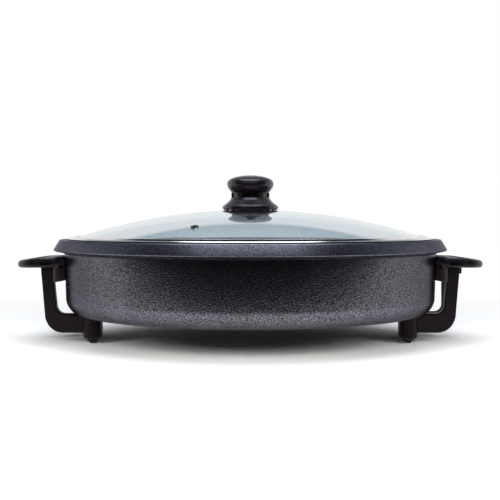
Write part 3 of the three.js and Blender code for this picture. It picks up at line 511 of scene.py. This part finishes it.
def pan():
    """Cast pan with its rim, heater channel and handle lugs."""
    low_radius = WALL_RADIUS - WALL_TAPER
    low = BOTTOM + CORNER
    inner_corner = CORNER - WALL_THICKNESS
    rim = rounded([
        (0, 0, 0), (WALL_RADIUS, WALL_TOP, 3.0), (FLARE, FLARE_HEIGHT, 2.0),
        (SKIRT_UNDER, SKIRT_UNDER_HEIGHT, 0.0), (SKIRT_LIP, SKIRT_LIP_HEIGHT, 0.7),
        (SKIRT_TIP, SKIRT_TIP_HEIGHT, 0.6), (SKIRT_TOP, SKIRT_TOP_HEIGHT, 0.55),
        (RIM_OUTER, RIM_TOP, 0.45), (RIM_INNER, RIM_TOP, 0.5), (RIM_INNER - 0.4, 60.0, 0.0)], 4)[1:-1]
    outline = [(radius, BOTTOM) for radius in UNDERSIDE_RINGS]
    outline += arc(low_radius - CORNER, low, CORNER, -QUARTER, 0, 14)
    outline += [(wall_at(z), z) for z in WALL_RINGS]
    outline += rim
    outline += [(RIM_INNER - INSIDE_TAPER_HIGH, INSIDE_HIGH), (RIM_INNER - INSIDE_TAPER_LOW, INSIDE_LOW)]
    outline += arc(low_radius - WALL_THICKNESS - inner_corner, FLOOR_TOP + inner_corner, inner_corner,
                   0, -QUARTER, 12)
    outline += [(radius, FLOOR_TOP) for radius in FLOOR_RINGS]

    def finish(radius, height):
        """Coat of a face: 0 on the wall and underside, 1 on the rim, 2 inside."""
        from_corner = math.hypot(radius - low_radius + CORNER, height - low)
        on_corner = height < low + 0.1 and from_corner > CORNER - COAT_DEPTH
        if radius < RIM_INNER - 0.05 and height > BOTTOM + 1.0 and not on_corner:
            return 2 if height < RIM_TOP - COAT_MARGIN else 1
        return 1 if height > WALL_TOP + COAT_MARGIN else 0

    bm = revolve(bmesh.new(), outline, WIDE_STEPS, finish=finish)
    base = BOTTOM - CHANNEL_DEPTH
    top = BOTTOM + CHANNEL_SINK
    inner = HEATER_RADIUS - CHANNEL_HALF
    outer = HEATER_RADIUS + CHANNEL_HALF
    gate = math.asin((TAIL_HALF + TAIL_BEND) / (outer + CHANNEL_WALL / 2))

    def wall(low_side, high_side):
        """Outline of a channel wall."""
        return rounded([(low_side, top, 0), (low_side, base, CHANNEL_EDGE),
                        (high_side, base, CHANNEL_EDGE), (high_side, top, 0)])

    parts = [revolve(bmesh.new(), wall(inner - CHANNEL_WALL, inner), 160, closed=True),
             revolve(bmesh.new(), wall(outer, outer + CHANNEL_WALL), 150, gate, math.tau - gate, closed=True)]
    for side in (-1, 1):
        for end in (-1, 1):
            middle = end * LUG_PLACE
            slab = box(LUG_START, middle - LUG_HALF, LUG_MIDDLE - LUG_HEIGHT / 2, WALL_RADIUS + LUG_REACH,
                       middle + LUG_HALF, LUG_MIDDLE + LUG_HEIGHT / 2, LUG_EDGE)
            place = Matrix.Translation((LUG_SCREW_X, middle, LUG_MIDDLE)) @ Matrix.Rotation(QUARTER, 4, "X")
            bore = moved(rod(SCREW_SHANK + CLEARANCE, -3 * LUG_HALF, 3 * LUG_HALF), place)
            parts.append(mirrored(shaped(slab, cuts=[bore]), side))
    made("pan_shell", merged(bm, *parts), "pan", "cast_pan", [WALL_COAT, RIM_COAT, INSIDE_COAT], "pan_body")


def tube(points, radius, sides):
    """Round tube along points, with flat ends."""
    bm = bmesh.new()
    path = [Vector(p) for p in points]
    rings = []
    normal = Vector((0, 1, 0))
    for i, p in enumerate(path):
        along = (path[min(i + 1, len(path) - 1)] - path[max(i - 1, 0)]).normalized()
        normal = (normal - along * normal.dot(along)).normalized()
        across = along.cross(normal)
        turns = [math.tau * k / sides for k in range(sides)]
        ring = [p + (normal * math.cos(a) + across * math.sin(a)) * radius for a in turns]
        rings.append([bm.verts.new(point) for point in ring])
    for low, high in zip(rings, rings[1:]):
        for i in range(sides):
            j = (i + 1) % sides
            bm.faces.new((low[i], low[j], high[j], high[i]))
    bm.faces.new(rings[0])
    bm.faces.new(rings[-1])
    return bm


def heater():
    """Tubular heater with two tails up to the socket."""
    bend = TAIL_BEND
    gap = math.asin((TAIL_HALF + bend) / (HEATER_RADIUS + bend))
    centre = (HEATER_RADIUS + bend) * math.cos(gap)
    first = [(TAIL_X, TAIL_HALF, TAIL_TOP), (TAIL_X, TAIL_HALF, TAIL_MIDDLE_HEIGHT)]
    first += [(x, TAIL_HALF, z) for x, z in arc(TAIL_X - bend, HEATER_HEIGHT + bend, bend, 0, -QUARTER, 12)]
    first += [(TAIL_MIDDLE_X, TAIL_HALF, HEATER_HEIGHT)]
    first += [(x, y, HEATER_HEIGHT) for x, y in
              arc(centre, TAIL_HALF + bend, bend, -QUARTER, gap - math.pi, 12)]
    loop = [(x, y, HEATER_HEIGHT) for x, y in arc(0, 0, HEATER_RADIUS, gap, math.tau - gap, 160)[1:-1]]
    last = [(x, -y, z) for x, y, z in reversed(first)]
    made("heater_tube", tube(first + loop + last, HEATER_TUBE, 20), "pan", "heater_steel", [HEATER_STEEL],
         "heating_element", sharp=50)


# Handles and legs

def grip_edge():
    """Outer and inner plan of the loop."""
    straight = WALL_RADIUS + SHELF_REACH
    reach = GRIP_REACH - SHELF_REACH
    outer = [(WALL_RADIUS - BLOCK_REACH, -HANDLE_HALF)]
    outer += [(straight + reach * c, HANDLE_HALF * s) for c, s in arc(0, 0, 1, -QUARTER, QUARTER, 48)]
    outer += [(WALL_RADIUS - BLOCK_REACH, HANDLE_HALF)]
    hole = [(straight + (reach - GRIP_BAR) * c, HOLE_HALF * s)
            for c, s in arc(0, 0, 1, -QUARTER, QUARTER, 36)]
    return outer, hole


def grip_shape():
    """Loop of the handle, drooping towards its tip."""
    outer, hole = grip_edge()
    grip = prism(outer, GRIP_TOP - GRIP_THICKNESS, GRIP_TOP, GRIP_ROUND, hole, 6)
    start, end = WALL_RADIUS + BLOCK_REACH, WALL_RADIUS + GRIP_REACH
    for vert in grip.verts:
        share = max(0.0, vert.co.x - start) / (end - start)
        tip_share = max(0.0, vert.co.x - TIP_START) / (end - TIP_START)
        rise = (vert.co.z - GRIP_TOP + GRIP_THICKNESS) / GRIP_THICKNESS
        vert.co.z -= GRIP_DROOP * share * rise + TIP_DROOP * tip_share
    return grip


def block_shape(foot):
    """Block that hugs the wall, its underside sloping up outwards."""
    inner_x = math.sqrt(WALL_RADIUS ** 2 - HANDLE_HALF ** 2) - OVERRUN
    middle_x = WALL_RADIUS + BLOCK_REACH - BLOCK_ROUND
    turn = HANDLE_HALF - BLOCK_ROUND
    plan = [(inner_x, -HANDLE_HALF), *arc(middle_x, -turn, BLOCK_ROUND, -QUARTER, 0, 12),
            *arc(middle_x, turn, BLOCK_ROUND, 0, QUARTER, 12), (inner_x, HANDLE_HALF)]
    wedge = box(-WEDGE_HALF, -2 * HANDLE_HALF, -WEDGE_HEIGHT, WEDGE_HALF, 2 * HANDLE_HALF, 0)
    place = Matrix.Translation((WALL_RADIUS - BLOCK_SLOPE_START, 0, BLOCK_BOTTOM))
    place = place @ Matrix.Rotation(math.atan(BLOCK_SLOPE), 4, "Y")
    return shaped(prism(plan, foot, BLOCK_TOP, BLOCK_EDGE), cuts=[moved(wedge, place)])


def handle(name, side):
    """Loop grip with its block, cut out for the wall, grooves, lugs, screws and socket shroud."""
    face = WALL_RADIUS + BLOCK_REACH
    foot = BLOCK_BOTTOM - BLOCK_SLOPE * (BLOCK_REACH + BLOCK_SLOPE_START)
    low = BOTTOM + CORNER
    cuts = [revolve(bmesh.new(), [(0, low), (wall_at(low) + CLEARANCE, low),
                                  (wall_at(RIM_TOP) + CLEARANCE, RIM_TOP), (0, RIM_TOP)], WIDE_STEPS)]
    for end in (-1, 1):
        outside = end * (HANDLE_HALF + OVERRUN)
        plan = [(face, outside), (face, end * (HANDLE_HALF - GROOVE_DEPTH)),
                (face + GROOVE_LENGTH, end * HANDLE_HALF), (face + GROOVE_LENGTH, outside)]
        cuts.append(prism(plan if end < 0 else plan[::-1], GROOVE_TOP - GROOVE_HEIGHT, GROOVE_TOP))
        half = LUG_HALF + CLEARANCE
        cuts.append(box(LUG_START, end * LUG_PLACE - half, LUG_MIDDLE - LUG_HEIGHT / 2 - CLEARANCE,
                        WALL_RADIUS + LUG_REACH + CLEARANCE, end * LUG_PLACE + half,
                        LUG_MIDDLE + LUG_HEIGHT / 2 + CLEARANCE))
        place = Matrix.Translation((LUG_SCREW_X, outside, LUG_MIDDLE))
        place = place @ Matrix.Rotation(end * QUARTER, 4, "X")
        depth = OVERRUN + SCREW_POCKET
        cuts.append(moved(rod(SCREW_HEAD + CLEARANCE, 0, depth + SCREW_HEAD_HEIGHT + CLEARANCE), place))
        cuts.append(moved(rod(SCREW_SHANK + CLEARANCE, 0, depth + SCREW_LENGTH + 1), place))
    if side > 0:
        half = SHROUD_HALF + CLEARANCE
        cuts.append(box(WALL_RADIUS - BLOCK_REACH, -half, foot - OVERRUN, face + OVERRUN, half,
                        GRIP_TOP - GRIP_THICKNESS))
    body = shaped(grip_shape(), cuts=cuts, joins=[block_shape(foot)], cell=HANDLE_CELL, keep=HANDLE_KEEP)
    made(name + "_moulding", mirrored(body, side), "pan", "handle_plastic", [HANDLE_PLASTIC], name, sharp=60)


def leg_outline(end):
    """Side view of a leg in X and Z."""
    top_shift, knee_shift, drop = (REAR_TOP_SHIFT, REAR_KNEE_SHIFT, REAR_BAR_DROP) if end > 0 else (0, 0, 0)
    top = GRIP_TOP - GRIP_THICKNESS - CLEARANCE
    bar_top = LEG_BAR_TOP - drop
    bar_bottom = bar_top - LEG_BAR_HEIGHT
    top_in = WALL_RADIUS + LEG_TOP_REACH + top_shift
    knee_in = WALL_RADIUS + LEG_KNEE_REACH + knee_shift
    low_in = WALL_RADIUS + LEG_LOW_REACH + knee_shift
    low_out = low_in + LEG_LOW_WIDTH
    centre = post_x(end)
    rise_top = bar_top + LEG_BAR_RISE
    rise = centre + POST_WIDTH
    return [
        (centre, bar_bottom),
        *arc(low_out - LEG_OUTER_ROUND, bar_bottom + LEG_OUTER_ROUND, LEG_OUTER_ROUND, -QUARTER, 0, 16),
        (knee_in + LEG_TOP_WIDTH - LEG_KNEE_TRIM, LEG_KNEE_HEIGHT), (top_in + LEG_TOP_WIDTH, top),
        (top_in, top), (knee_in, LEG_KNEE_HEIGHT),
        *arc(low_in - LEG_INNER_ROUND, rise_top + LEG_INNER_ROUND, LEG_INNER_ROUND, 0, -QUARTER, 8),
        (rise, rise_top), (rise - LEG_BAR_RAMP, bar_top), (centre, bar_top),
    ]


def post_x(end):
    """Place of a foot post in X."""
    return POST_PLACE + (REAR_POST_SHIFT if end > 0 else 0)


def leg(name, side, end):
    """Leg with its oval foot post."""
    upright = Matrix.Translation((0, end * LEG_PLACE, 0)) @ Matrix.Rotation(QUARTER, 4, "X")
    plate = moved(prism(leg_outline(end), -LEG_DEPTH / 2, LEG_DEPTH / 2, LEG_EDGE), upright)
    radius = POST_WIDTH / 2
    half = (POST_DEPTH - POST_WIDTH) / 2
    oval = arc(0, half, radius, 0, math.pi, 20) + arc(0, -half, radius, math.pi, math.tau, 20)
    place = Matrix.Translation((post_x(end), end * LEG_PLACE, 0))
    top = BOTTOM - CLEARANCE
    post = moved(prism(oval, POST_BOTTOM, top + POST_EDGE, POST_EDGE, steps=6), place)
    spare = moved(box(-POST_WIDTH, -POST_DEPTH, top, POST_WIDTH, POST_DEPTH, top + 2 * POST_EDGE), place)
    pocket = moved(rod(POST_POCKET, POST_BOTTOM - OVERRUN, POST_POCKET_TOP), place)
    hole = moved(rod(POST_HOLE, POST_POCKET_TOP - OVERRUN, BOTTOM + OVERRUN), place)
    post = shaped(post, cuts=[spare])
    body = shaped(plate, cuts=[pocket, hole], joins=[post], cell=LEG_CELL, keep=LEG_KEEP)
    made(name + "_moulding", mirrored(body, side), "pan", "handle_plastic", [HANDLE_PLASTIC], name, sharp=60)


def foot_tip(name, side, end):
    """Rubber tip with a plug up into its post."""
    seat = POST_BOTTOM - CLEARANCE
    plug_top = seat + TIP_PLUG_LENGTH
    outline = rounded([(0, 0, 0), (TIP_FLAT, 0, 0.8), (TIP_HIP, TIP_HIP_HEIGHT, 1.2),
                       (TIP_RADIUS, TIP_RADIUS_HEIGHT, 0.8), (TIP_RADIUS, seat, 0.3),
                       (TIP_PLUG, seat, 0.2), (TIP_PLUG, plug_top, 0.5), (0, plug_top, 0)])
    bm = revolve(bmesh.new(), outline, SMALL_STEPS)
    made(name + "_rubber", moved(bm, Matrix.Translation((side * post_x(end), end * LEG_PLACE, 0))),
         "pan", "foot_rubber", [RUBBER], name)


def screw(name, node, body, place, head, height, shank, length, slot, look):
    """Domed screw with a cross recess; local Z points out of its head."""
    outline = [(0, -length), *rounded([(0, -length, 0), (shank, -length, 0.4), (shank, -height, 0),
                                       (head, -height, 0.2), (head, -height * 0.45, height * 0.5),
                                       (head * 0.55, 0, head * 0.5), (0, 0, 0)])[1:]]
    bm = revolve(bmesh.new(), outline, 40)
    arm, width, deep = head * RECESS_ARM, head * RECESS_WIDTH, height * RECESS_DEPTH
    recess = [box(-arm, -width, -deep, arm, width, 1), box(-width, -arm, -deep, width, arm, 1)]
    bm = moved(shaped(bm, cuts=recess), place)
    made(name, bm, body, slot, [look], node)


# Lid

def dome_at(radius, depth=0.0):
    """Height of the glass at a radius."""
    return DOME_CENTRE + math.sqrt((DOME_RADIUS - depth) ** 2 - radius ** 2)


def on_vent():
    """Place on the vent's axis, square to the glass."""
    tilt = Matrix.Rotation(math.asin(VENT_RADIUS / DOME_RADIUS), 4, "Y")
    shift = Matrix.Translation((VENT_RADIUS, 0, dome_at(VENT_RADIUS)))
    return Matrix.Rotation(VENT_DIRECTION, 4, "Z") @ shift @ tilt


def glass_lid():
    """Domed glass with holes for the knob and the vent."""
    end = GLASS_RADIUS - GLASS_EDGE
    radii = [GLASS_HOLE + (end - GLASS_HOLE) * i / 36 for i in range(37)]
    middle = (dome_at(end) + dome_at(end, GLASS_THICKNESS)) / 2
    outline = [(r, dome_at(r)) for r in radii]
    outline += [(GLASS_RADIUS - GLASS_BULGE, middle + GLASS_EDGE_HALF), (GLASS_RADIUS, middle),
                (GLASS_RADIUS - GLASS_BULGE, middle - GLASS_EDGE_HALF)]
    outline += [(r, dome_at(r, GLASS_THICKNESS)) for r in reversed(radii)]
    bm = revolve(bmesh.new(), outline, 256, closed=True)
    drill = rod(VENT_HOLE, -2 * GLASS_THICKNESS, GLASS_THICKNESS, SMALL_STEPS)
    bm = shaped(bm, cuts=[moved(drill, on_vent())])
    made("glass_dome", bm, "lid", "lid_glass", [GLASS], "glass_lid")


def lid_band():
    """Rolled steel band round the glass."""
    wall = GLASS_RADIUS + CLEARANCE
    skin = wall + BAND_SKIN
    lip = GLASS_RADIUS - BAND_LIP
    under = dome_at(GLASS_RADIUS, GLASS_THICKNESS) - CLEARANCE
    under_lip = dome_at(lip, GLASS_THICKNESS) - CLEARANCE
    over_lip = dome_at(lip) + CLEARANCE
    over_wall = dome_at(GLASS_RADIUS) + CLEARANCE
    seat = RIM_TOP + CLEARANCE
    seat_top = seat + BAND_SEAT_HEIGHT
    outline = rounded([
        (lip, under_lip - BAND_SKIN, 0.4), (skin, under - BAND_SKIN, 0.8), (skin, seat, 0.3),
        (BAND_SEAT, seat, 0.3), (BAND_RADIUS, seat + BAND_EDGE, 0.2), (BAND_SHOULDER, seat_top, 0.25),
        (skin, seat_top, 0.2), (skin, over_lip + BAND_SKIN - BAND_ROLL, 0.2),
        (lip, over_lip + BAND_SKIN, 0.45), (lip, over_lip, 0.3), (wall, over_wall, 0.3),
        (wall, under, 0.3), (lip, under_lip, 0.3)], 4)
    made("steel_band", revolve(bmesh.new(), outline, WIDE_STEPS, closed=True), "lid", "lid_steel",
         [STEEL_BAND], "lid_rim_band", sharp=50)


def vent():
    """Grommet in the vent hole."""
    under, over = -GLASS_THICKNESS - CLEARANCE, CLEARANCE
    outline = rounded([
        (VENT_BORE, under - VENT_LIP, 0.3), (VENT_FLANGE, under - VENT_LIP, 0.35), (VENT_FLANGE, under, 0.2),
        (VENT_NECK, under, 0), (VENT_NECK, over, 0), (VENT_FLANGE, over, 0.2),
        (VENT_FLANGE, over + VENT_LIP, 0.4), (VENT_BORE, over + VENT_LIP, 0.35)])
    bm = moved(revolve(bmesh.new(), outline, SMALL_STEPS, closed=True), on_vent())
    made("vent_ring", bm, "lid", "foot_rubber", [RUBBER], "vent_grommet")


def knob_base():
    """Flange with small feet, stepped neck and posts with a window front and rear."""
    z = KNOB_BOTTOM
    bore_top, neck_top = z + KNOB_BORE_TOP, z + NECK_HEIGHT
    stud_top, stud_floor = z + STUD_HEIGHT, z + STUD_FLOOR
    outline = rounded([
        (KNOB_BORE, bore_top, 0), (KNOB_BORE, z, 0.3), (SEAT_INNER, z, 0.2),
        (SEAT_INNER, z - SEAT_DEPTH, 0.2), (SEAT_OUTER, z - SEAT_DEPTH, 0.2), (SEAT_OUTER, z, 0.2),
        (FLANGE_RADIUS, z, 0.5), (FLANGE_RADIUS, z + FLANGE_HEIGHT, 1.2), (STEP_RADIUS, z + STEP_HEIGHT, 1.6),
        (WAIST_RADIUS, z + WAIST_HEIGHT, 2.0), (NECK_RADIUS, neck_top, 0.5), (STUD_RADIUS, neck_top, 0.4),
        (STUD_RADIUS, stud_top, 0.4), (STUD_BORE, stud_top, 0.2), (STUD_BORE, stud_floor, 0),
        (0, stud_floor, 0), (0, bore_top, 0)], 6)
    bm = revolve(bmesh.new(), outline, KNOB_STEPS)
    parts = []
    half = KNOB_POST_HALF
    wide = math.asin(half / NECK_RADIUS)
    for i in (0, 1, 3, 4, 5, 7):
        plan = [(KNOB_POST_START, half), (KNOB_POST_START, -half), *arc(0, 0, NECK_RADIUS, -wide, wide, 6)]
        post = prism(plan, z + KNOB_POST_FOOT, stud_top, KNOB_POST_EDGE)
        parts.append(moved(post, Matrix.Rotation(math.radians(45 * i), 4, "Z")))
    for i in range(KNOB_FEET):
        foot = box(-FOOT_HALF, -FOOT_HALF, z - FOOT_DROP, FOOT_HALF, FOOT_HALF, z + FOOT_RISE, FOOT_EDGE)
        turn = Matrix.Rotation(math.radians(360 / KNOB_FEET * i), 4, "Z")
        parts.append(moved(moved(foot, Matrix.Translation((FOOT_PLACE, 0, 0))), turn))
    made("knob_foot", merged(bm, *parts), "lid", "knob_plastic", [KNOB_PLASTIC], "knob_base", sharp=40)


def knob_cap():
    """Cone under a creased, domed top."""
    z = KNOB_BOTTOM + CAP_BOTTOM
    crease, top, stud = z + CAP_CREASE, z + CAP_TOP, z - CAP_STUD_LENGTH
    outline = [(0, stud), (CAP_STUD - CAP_STUD_EDGE, stud), (CAP_STUD, stud + CAP_STUD_EDGE),
               (CAP_STUD, z), (CAP_INNER, z), (NECK_RADIUS, z + CAP_EDGE)]
    for i in range(1, 13):
        share = i / 12
        outline.append((NECK_RADIUS + (CAP_RADIUS - NECK_RADIUS) * math.sin(share * QUARTER),
                        z + CAP_EDGE + CAP_CONE * share))
    outline += [(CAP_RADIUS, z + CAP_SIDE), (CAP_RADIUS - CAP_GROOVE, crease),
                (CAP_RADIUS - 2 * CAP_GROOVE, crease + CAP_GROOVE)]
    dome = crease + 2 * CAP_GROOVE
    for c, s in arc(0, 0, 1, 0.06, QUARTER, 24):
        outline.append((CAP_DOME * max(c, 0.0), dome + (top - dome) * s))
    outline[-1] = (0.0, top)
    made("knob_top", revolve(bmesh.new(), outline, KNOB_STEPS), "lid", "knob_plastic", [KNOB_PLASTIC],
         "knob_cap")


pan()
heater()
for side_name, side in (("left", -1), ("right", 1)):
    handle(f"{side_name}_handle", side)
    for end_name, end in (("front", -1), ("rear", 1)):
        leg(f"{side_name}_{end_name}_leg", side, end)
        foot_tip(f"{side_name}_{end_name}_foot_tip", side, end)
        spot = (side * LUG_SCREW_X, end * (HANDLE_HALF - SCREW_POCKET), LUG_MIDDLE)
        screw(f"handle_screw_{side_name}_{end_name}_fine", f"handle_screw_{side_name}_{end_name}", "pan",
              Matrix.Translation(spot) @ Matrix.Rotation(-end * QUARTER, 4, "X"),
              SCREW_HEAD, SCREW_HEAD_HEIGHT, SCREW_SHANK, SCREW_LENGTH, "black_steel", BLACK_STEEL)
glass_lid()
lid_band()
vent()
knob_base()
knob_cap()
screw("knob_screw_fine", "knob_screw", "lid",
      Matrix.Translation((0, 0, KNOB_SCREW_BOTTOM)) @ Matrix.Rotation(math.pi, 4, "X"),
      KNOB_SCREW_HEAD, KNOB_SCREW_HEAD_HEIGHT, KNOB_SCREW_SHANK, KNOB_SCREW_LENGTH,
      "plated_steel", PLATED_STEEL)


# CAD nodes that stay, with welded and softened edges

BEVEL_DEGREES, WELD_DISTANCE = 50, 0.000002


def smooth_by_angle():
    """Geometry nodes that shade smooth and keep the sharper edges."""
    tree = bpy.data.node_groups.new("smooth_by_angle", "GeometryNodeTree")
    tree.interface.new_socket("Geometry", in_out="INPUT", socket_type="NodeSocketGeometry")
    tree.interface.new_socket("Geometry", in_out="OUTPUT", socket_type="NodeSocketGeometry")
    start, end = tree.nodes.new("NodeGroupInput"), tree.nodes.new("NodeGroupOutput")
    angle = tree.nodes.new("GeometryNodeInputMeshEdgeAngle")
    limit = tree.nodes.new("FunctionNodeCompare")
    limit.data_type, limit.operation = "FLOAT", "LESS_THAN"
    limit.inputs["B"].default_value = math.radians(SHARP_DEGREES)
    faces, edges = tree.nodes.new("GeometryNodeSetShadeSmooth"), tree.nodes.new("GeometryNodeSetShadeSmooth")
    edges.domain = "EDGE"
    tree.links.new(start.outputs[0], faces.inputs["Geometry"])
    tree.links.new(faces.outputs["Geometry"], edges.inputs["Geometry"])
    tree.links.new(angle.outputs["Unsigned Angle"], limit.inputs["A"])
    tree.links.new(limit.outputs["Result"], edges.inputs["Shade Smooth"])
    tree.links.new(edges.outputs["Geometry"], end.inputs[0])
    return tree


SMOOTH = smooth_by_angle()
KEPT = {
    "heater_end_seal_front": (CERAMIC, 0.25), "heater_end_seal_rear": (CERAMIC, 0.25),
    "terminal_pin_front": (PLATED_STEEL, 0.35), "terminal_pin_rear": (PLATED_STEEL, 0.35),
    "terminal_block": (CERAMIC, 0.25), "socket_shroud": (HANDLE_PLASTIC, 0.5),
    "probe_guide": (PLATED_STEEL, 0.25), "earth_contact": (PLATED_STEEL, 0.12),
    "leg_screw_left_front": (PLATED_STEEL, 0.25), "leg_screw_left_rear": (PLATED_STEEL, 0.25),
    "leg_screw_right_front": (PLATED_STEEL, 0.25), "leg_screw_right_rear": (PLATED_STEEL, 0.25),
    "knob_insert": (BRASS, 0.25), "knob_washer": (PLATED_STEEL, 0.15),
    "knob_gasket_lower": (SILICONE, 0.3), "knob_gasket_upper": (RUBBER, 0.12),
}
for node_name, (look, edge) in KEPT.items():
    kept = nodes[node_name]
    kept.data.materials.clear()
    kept.data.materials.append(look)
    weld = kept.modifiers.new("weld", "WELD")
    weld.merge_threshold = WELD_DISTANCE
    soften = kept.modifiers.new("soften", "BEVEL")
    soften.width, soften.segments, soften.angle_limit = edge * MM, 2, math.radians(BEVEL_DEGREES)
    shade = kept.modifiers.new("shade", "NODES")
    shade.node_group = SMOOTH


# Studio: floor, world, lamps and camera, in metres

FLOOR_HALF, FLOOR_HEIGHT, FLOOR_CELLS = 4.0, -0.0002, 8
WHITE_START, WHITE_END = 0.36, 0.7
DARK_END, DARK_START = -0.48, -0.26
FLOOR_LIT, FLOOR_SEEN = (0.8, 0.8, 0.8, 1), (1.15, 1.14, 1.1, 1)
FLOOR_DARK, STUDIO_DARK = (0.012, 0.012, 0.013, 1), (0.012, 0.012, 0.014, 1)
STUDIO_LIGHT, WHITE = (0.22, 0.22, 0.23, 1), (1, 1, 1, 1)
BACKDROP, STUDIO_LOW, STUDIO_HIGH = (0.965, 0.985, 1), (0.37, 0.43, 0.47), (0.27, 0.31, 0.34)
BACKDROP_TOP, BACKDROP_FADE = 0.405, 0.44
BACKDROP_FRONT, BACKDROP_FULL = -0.25, 0.1


def seen_rays(tree):
    """1 for rays that show the background: camera, glossy and transmission rays."""
    path = tree.nodes.new("ShaderNodeLightPath")
    total = path.outputs["Is Camera Ray"]
    for name in ("Is Glossy Ray", "Is Transmission Ray"):
        total = reckoned(tree, "ADD", total, path.outputs[name])
    return path, total


def floor():
    """Pale floor that keeps the shadow, runs out into white and is mirrored dark far in front."""
    bm = bmesh.new()
    bmesh.ops.create_grid(bm, x_segments=FLOOR_CELLS, y_segments=FLOOR_CELLS, size=FLOOR_HALF)
    mesh = bpy.data.meshes.new("studio_floor")
    bm.to_mesh(mesh)
    bm.free()
    obj = bpy.data.objects.new("studio_floor", mesh)
    scene.collection.objects.link(obj)
    obj.location.z = FLOOR_HEIGHT
    look = bpy.data.materials.new("studio_floor")
    look.use_nodes = True
    tree = look.node_tree
    tree.nodes.remove(tree.nodes["Principled BSDF"])
    path, seen = seen_rays(tree)
    place = tree.nodes.new("ShaderNodeTexCoord").outputs["Object"]
    length = tree.nodes.new("ShaderNodeVectorMath")
    length.operation = "LENGTH"
    split = tree.nodes.new("ShaderNodeSeparateXYZ")
    diffuse, dark = tree.nodes.new("ShaderNodeBsdfDiffuse"), tree.nodes.new("ShaderNodeBsdfDiffuse")
    white = tree.nodes.new("ShaderNodeEmission")
    feed(tree, length, {0: place})
    feed(tree, split, {"Vector": place})
    feed(tree, diffuse, {"Color": mixed_colour(tree, seen, FLOOR_LIT, FLOOR_SEEN)})
    feed(tree, dark, {"Color": FLOOR_DARK})
    far = spread(tree, length.outputs["Value"], WHITE_START, WHITE_END, 0.0, 1.0)
    pale = mixed_shader(tree, reckoned(tree, "MULTIPLY", far, seen), diffuse.outputs["BSDF"],
                        white.outputs["Emission"])
    ahead = spread(tree, split.outputs["Y"], DARK_END, DARK_START, 1.0, 0.0)
    mirrored_ahead = reckoned(tree, "MULTIPLY", ahead, path.outputs["Is Glossy Ray"])
    mix = mixed_shader(tree, mirrored_ahead, pale, dark.outputs["BSDF"])
    feed(tree, tree.nodes["Material Output"], {"Surface": mix})
    mesh.materials.append(look)


def world():
    """White backdrop behind and beside the object, darker studio above and in front."""
    sky = bpy.data.worlds.new("studio")
    scene.world = sky
    sky.use_nodes = True
    tree = sky.node_tree
    path, seen = seen_rays(tree)
    place = tree.nodes.new("ShaderNodeTexCoord")
    split = tree.nodes.new("ShaderNodeSeparateXYZ")
    feed(tree, split, {"Vector": place.outputs["Generated"]})
    low = ramp(tree, split.outputs["Z"], [(0.0, BACKDROP), (BACKDROP_TOP, BACKDROP),
                                          (BACKDROP_FADE, STUDIO_LOW), (1.0, STUDIO_HIGH)])
    behind = spread(tree, split.outputs["Y"], BACKDROP_FRONT, BACKDROP_FULL, 0.0, 1.0)
    through = reckoned(tree, "MAXIMUM", behind, path.outputs["Is Transmission Ray"])
    mirrored_studio = mixed_colour(tree, through, STUDIO_DARK, low)
    shown = mixed_colour(tree, seen, STUDIO_LIGHT, mirrored_studio)
    colour = mixed_colour(tree, path.outputs["Is Camera Ray"], shown, WHITE)
    feed(tree, tree.nodes["Background"], {"Color": colour})


def softbox(name, place, aim, width, height, power, mirrored_in=True, tone=(1, 1, 1)):
    """Rectangular studio lamp, perhaps kept out of reflections."""
    lamp = bpy.data.lights.new(name, "AREA")
    lamp.shape, lamp.size, lamp.size_y, lamp.energy = "RECTANGLE", width, height, power
    lamp.color = tone
    obj = bpy.data.objects.new(name, lamp)
    scene.collection.objects.link(obj)
    obj.location = place
    obj.rotation_euler = (Vector(aim) - Vector(place)).to_track_quat("-Z", "Y").to_euler()
    obj.visible_glossy = mirrored_in


def camera():
    """Camera at the photograph's place, level, with a small shift."""
    lens = bpy.data.cameras.new("camera")
    lens.lens, lens.sensor_width = 72.43, 36.0
    lens.shift_x, lens.shift_y = -0.0007, -0.067
    obj = bpy.data.objects.new("camera", lens)
    scene.collection.objects.link(obj)
    obj.location = (0.0, -1.100, 0.1348)
    obj.rotation_euler = (QUARTER, 0, 0)
    scene.camera = obj


floor()
world()
softbox("top_softbox", place=(0.0, -0.3, 1.3), aim=(0.0, -0.25, 0.08), width=1.2, height=1.2, power=11.0,
        tone=(0.97, 1.04, 1.16))
softbox("front_softbox", place=(0.0, -1.9, 0.72), aim=(0.0, 0.0, 0.0), width=0.9, height=0.5, power=19.0,
        mirrored_in=False)
for side_name, side in (("left", -1), ("right", 1)):
    softbox(f"{side_name}_softbox", place=(side * 1.22, -1.46, 0.78), aim=(0.0, 0.0, 0.0), width=0.9,
            height=0.6, power=17.0, mirrored_in=False)
camera()
scene.view_settings.view_transform = "Standard"
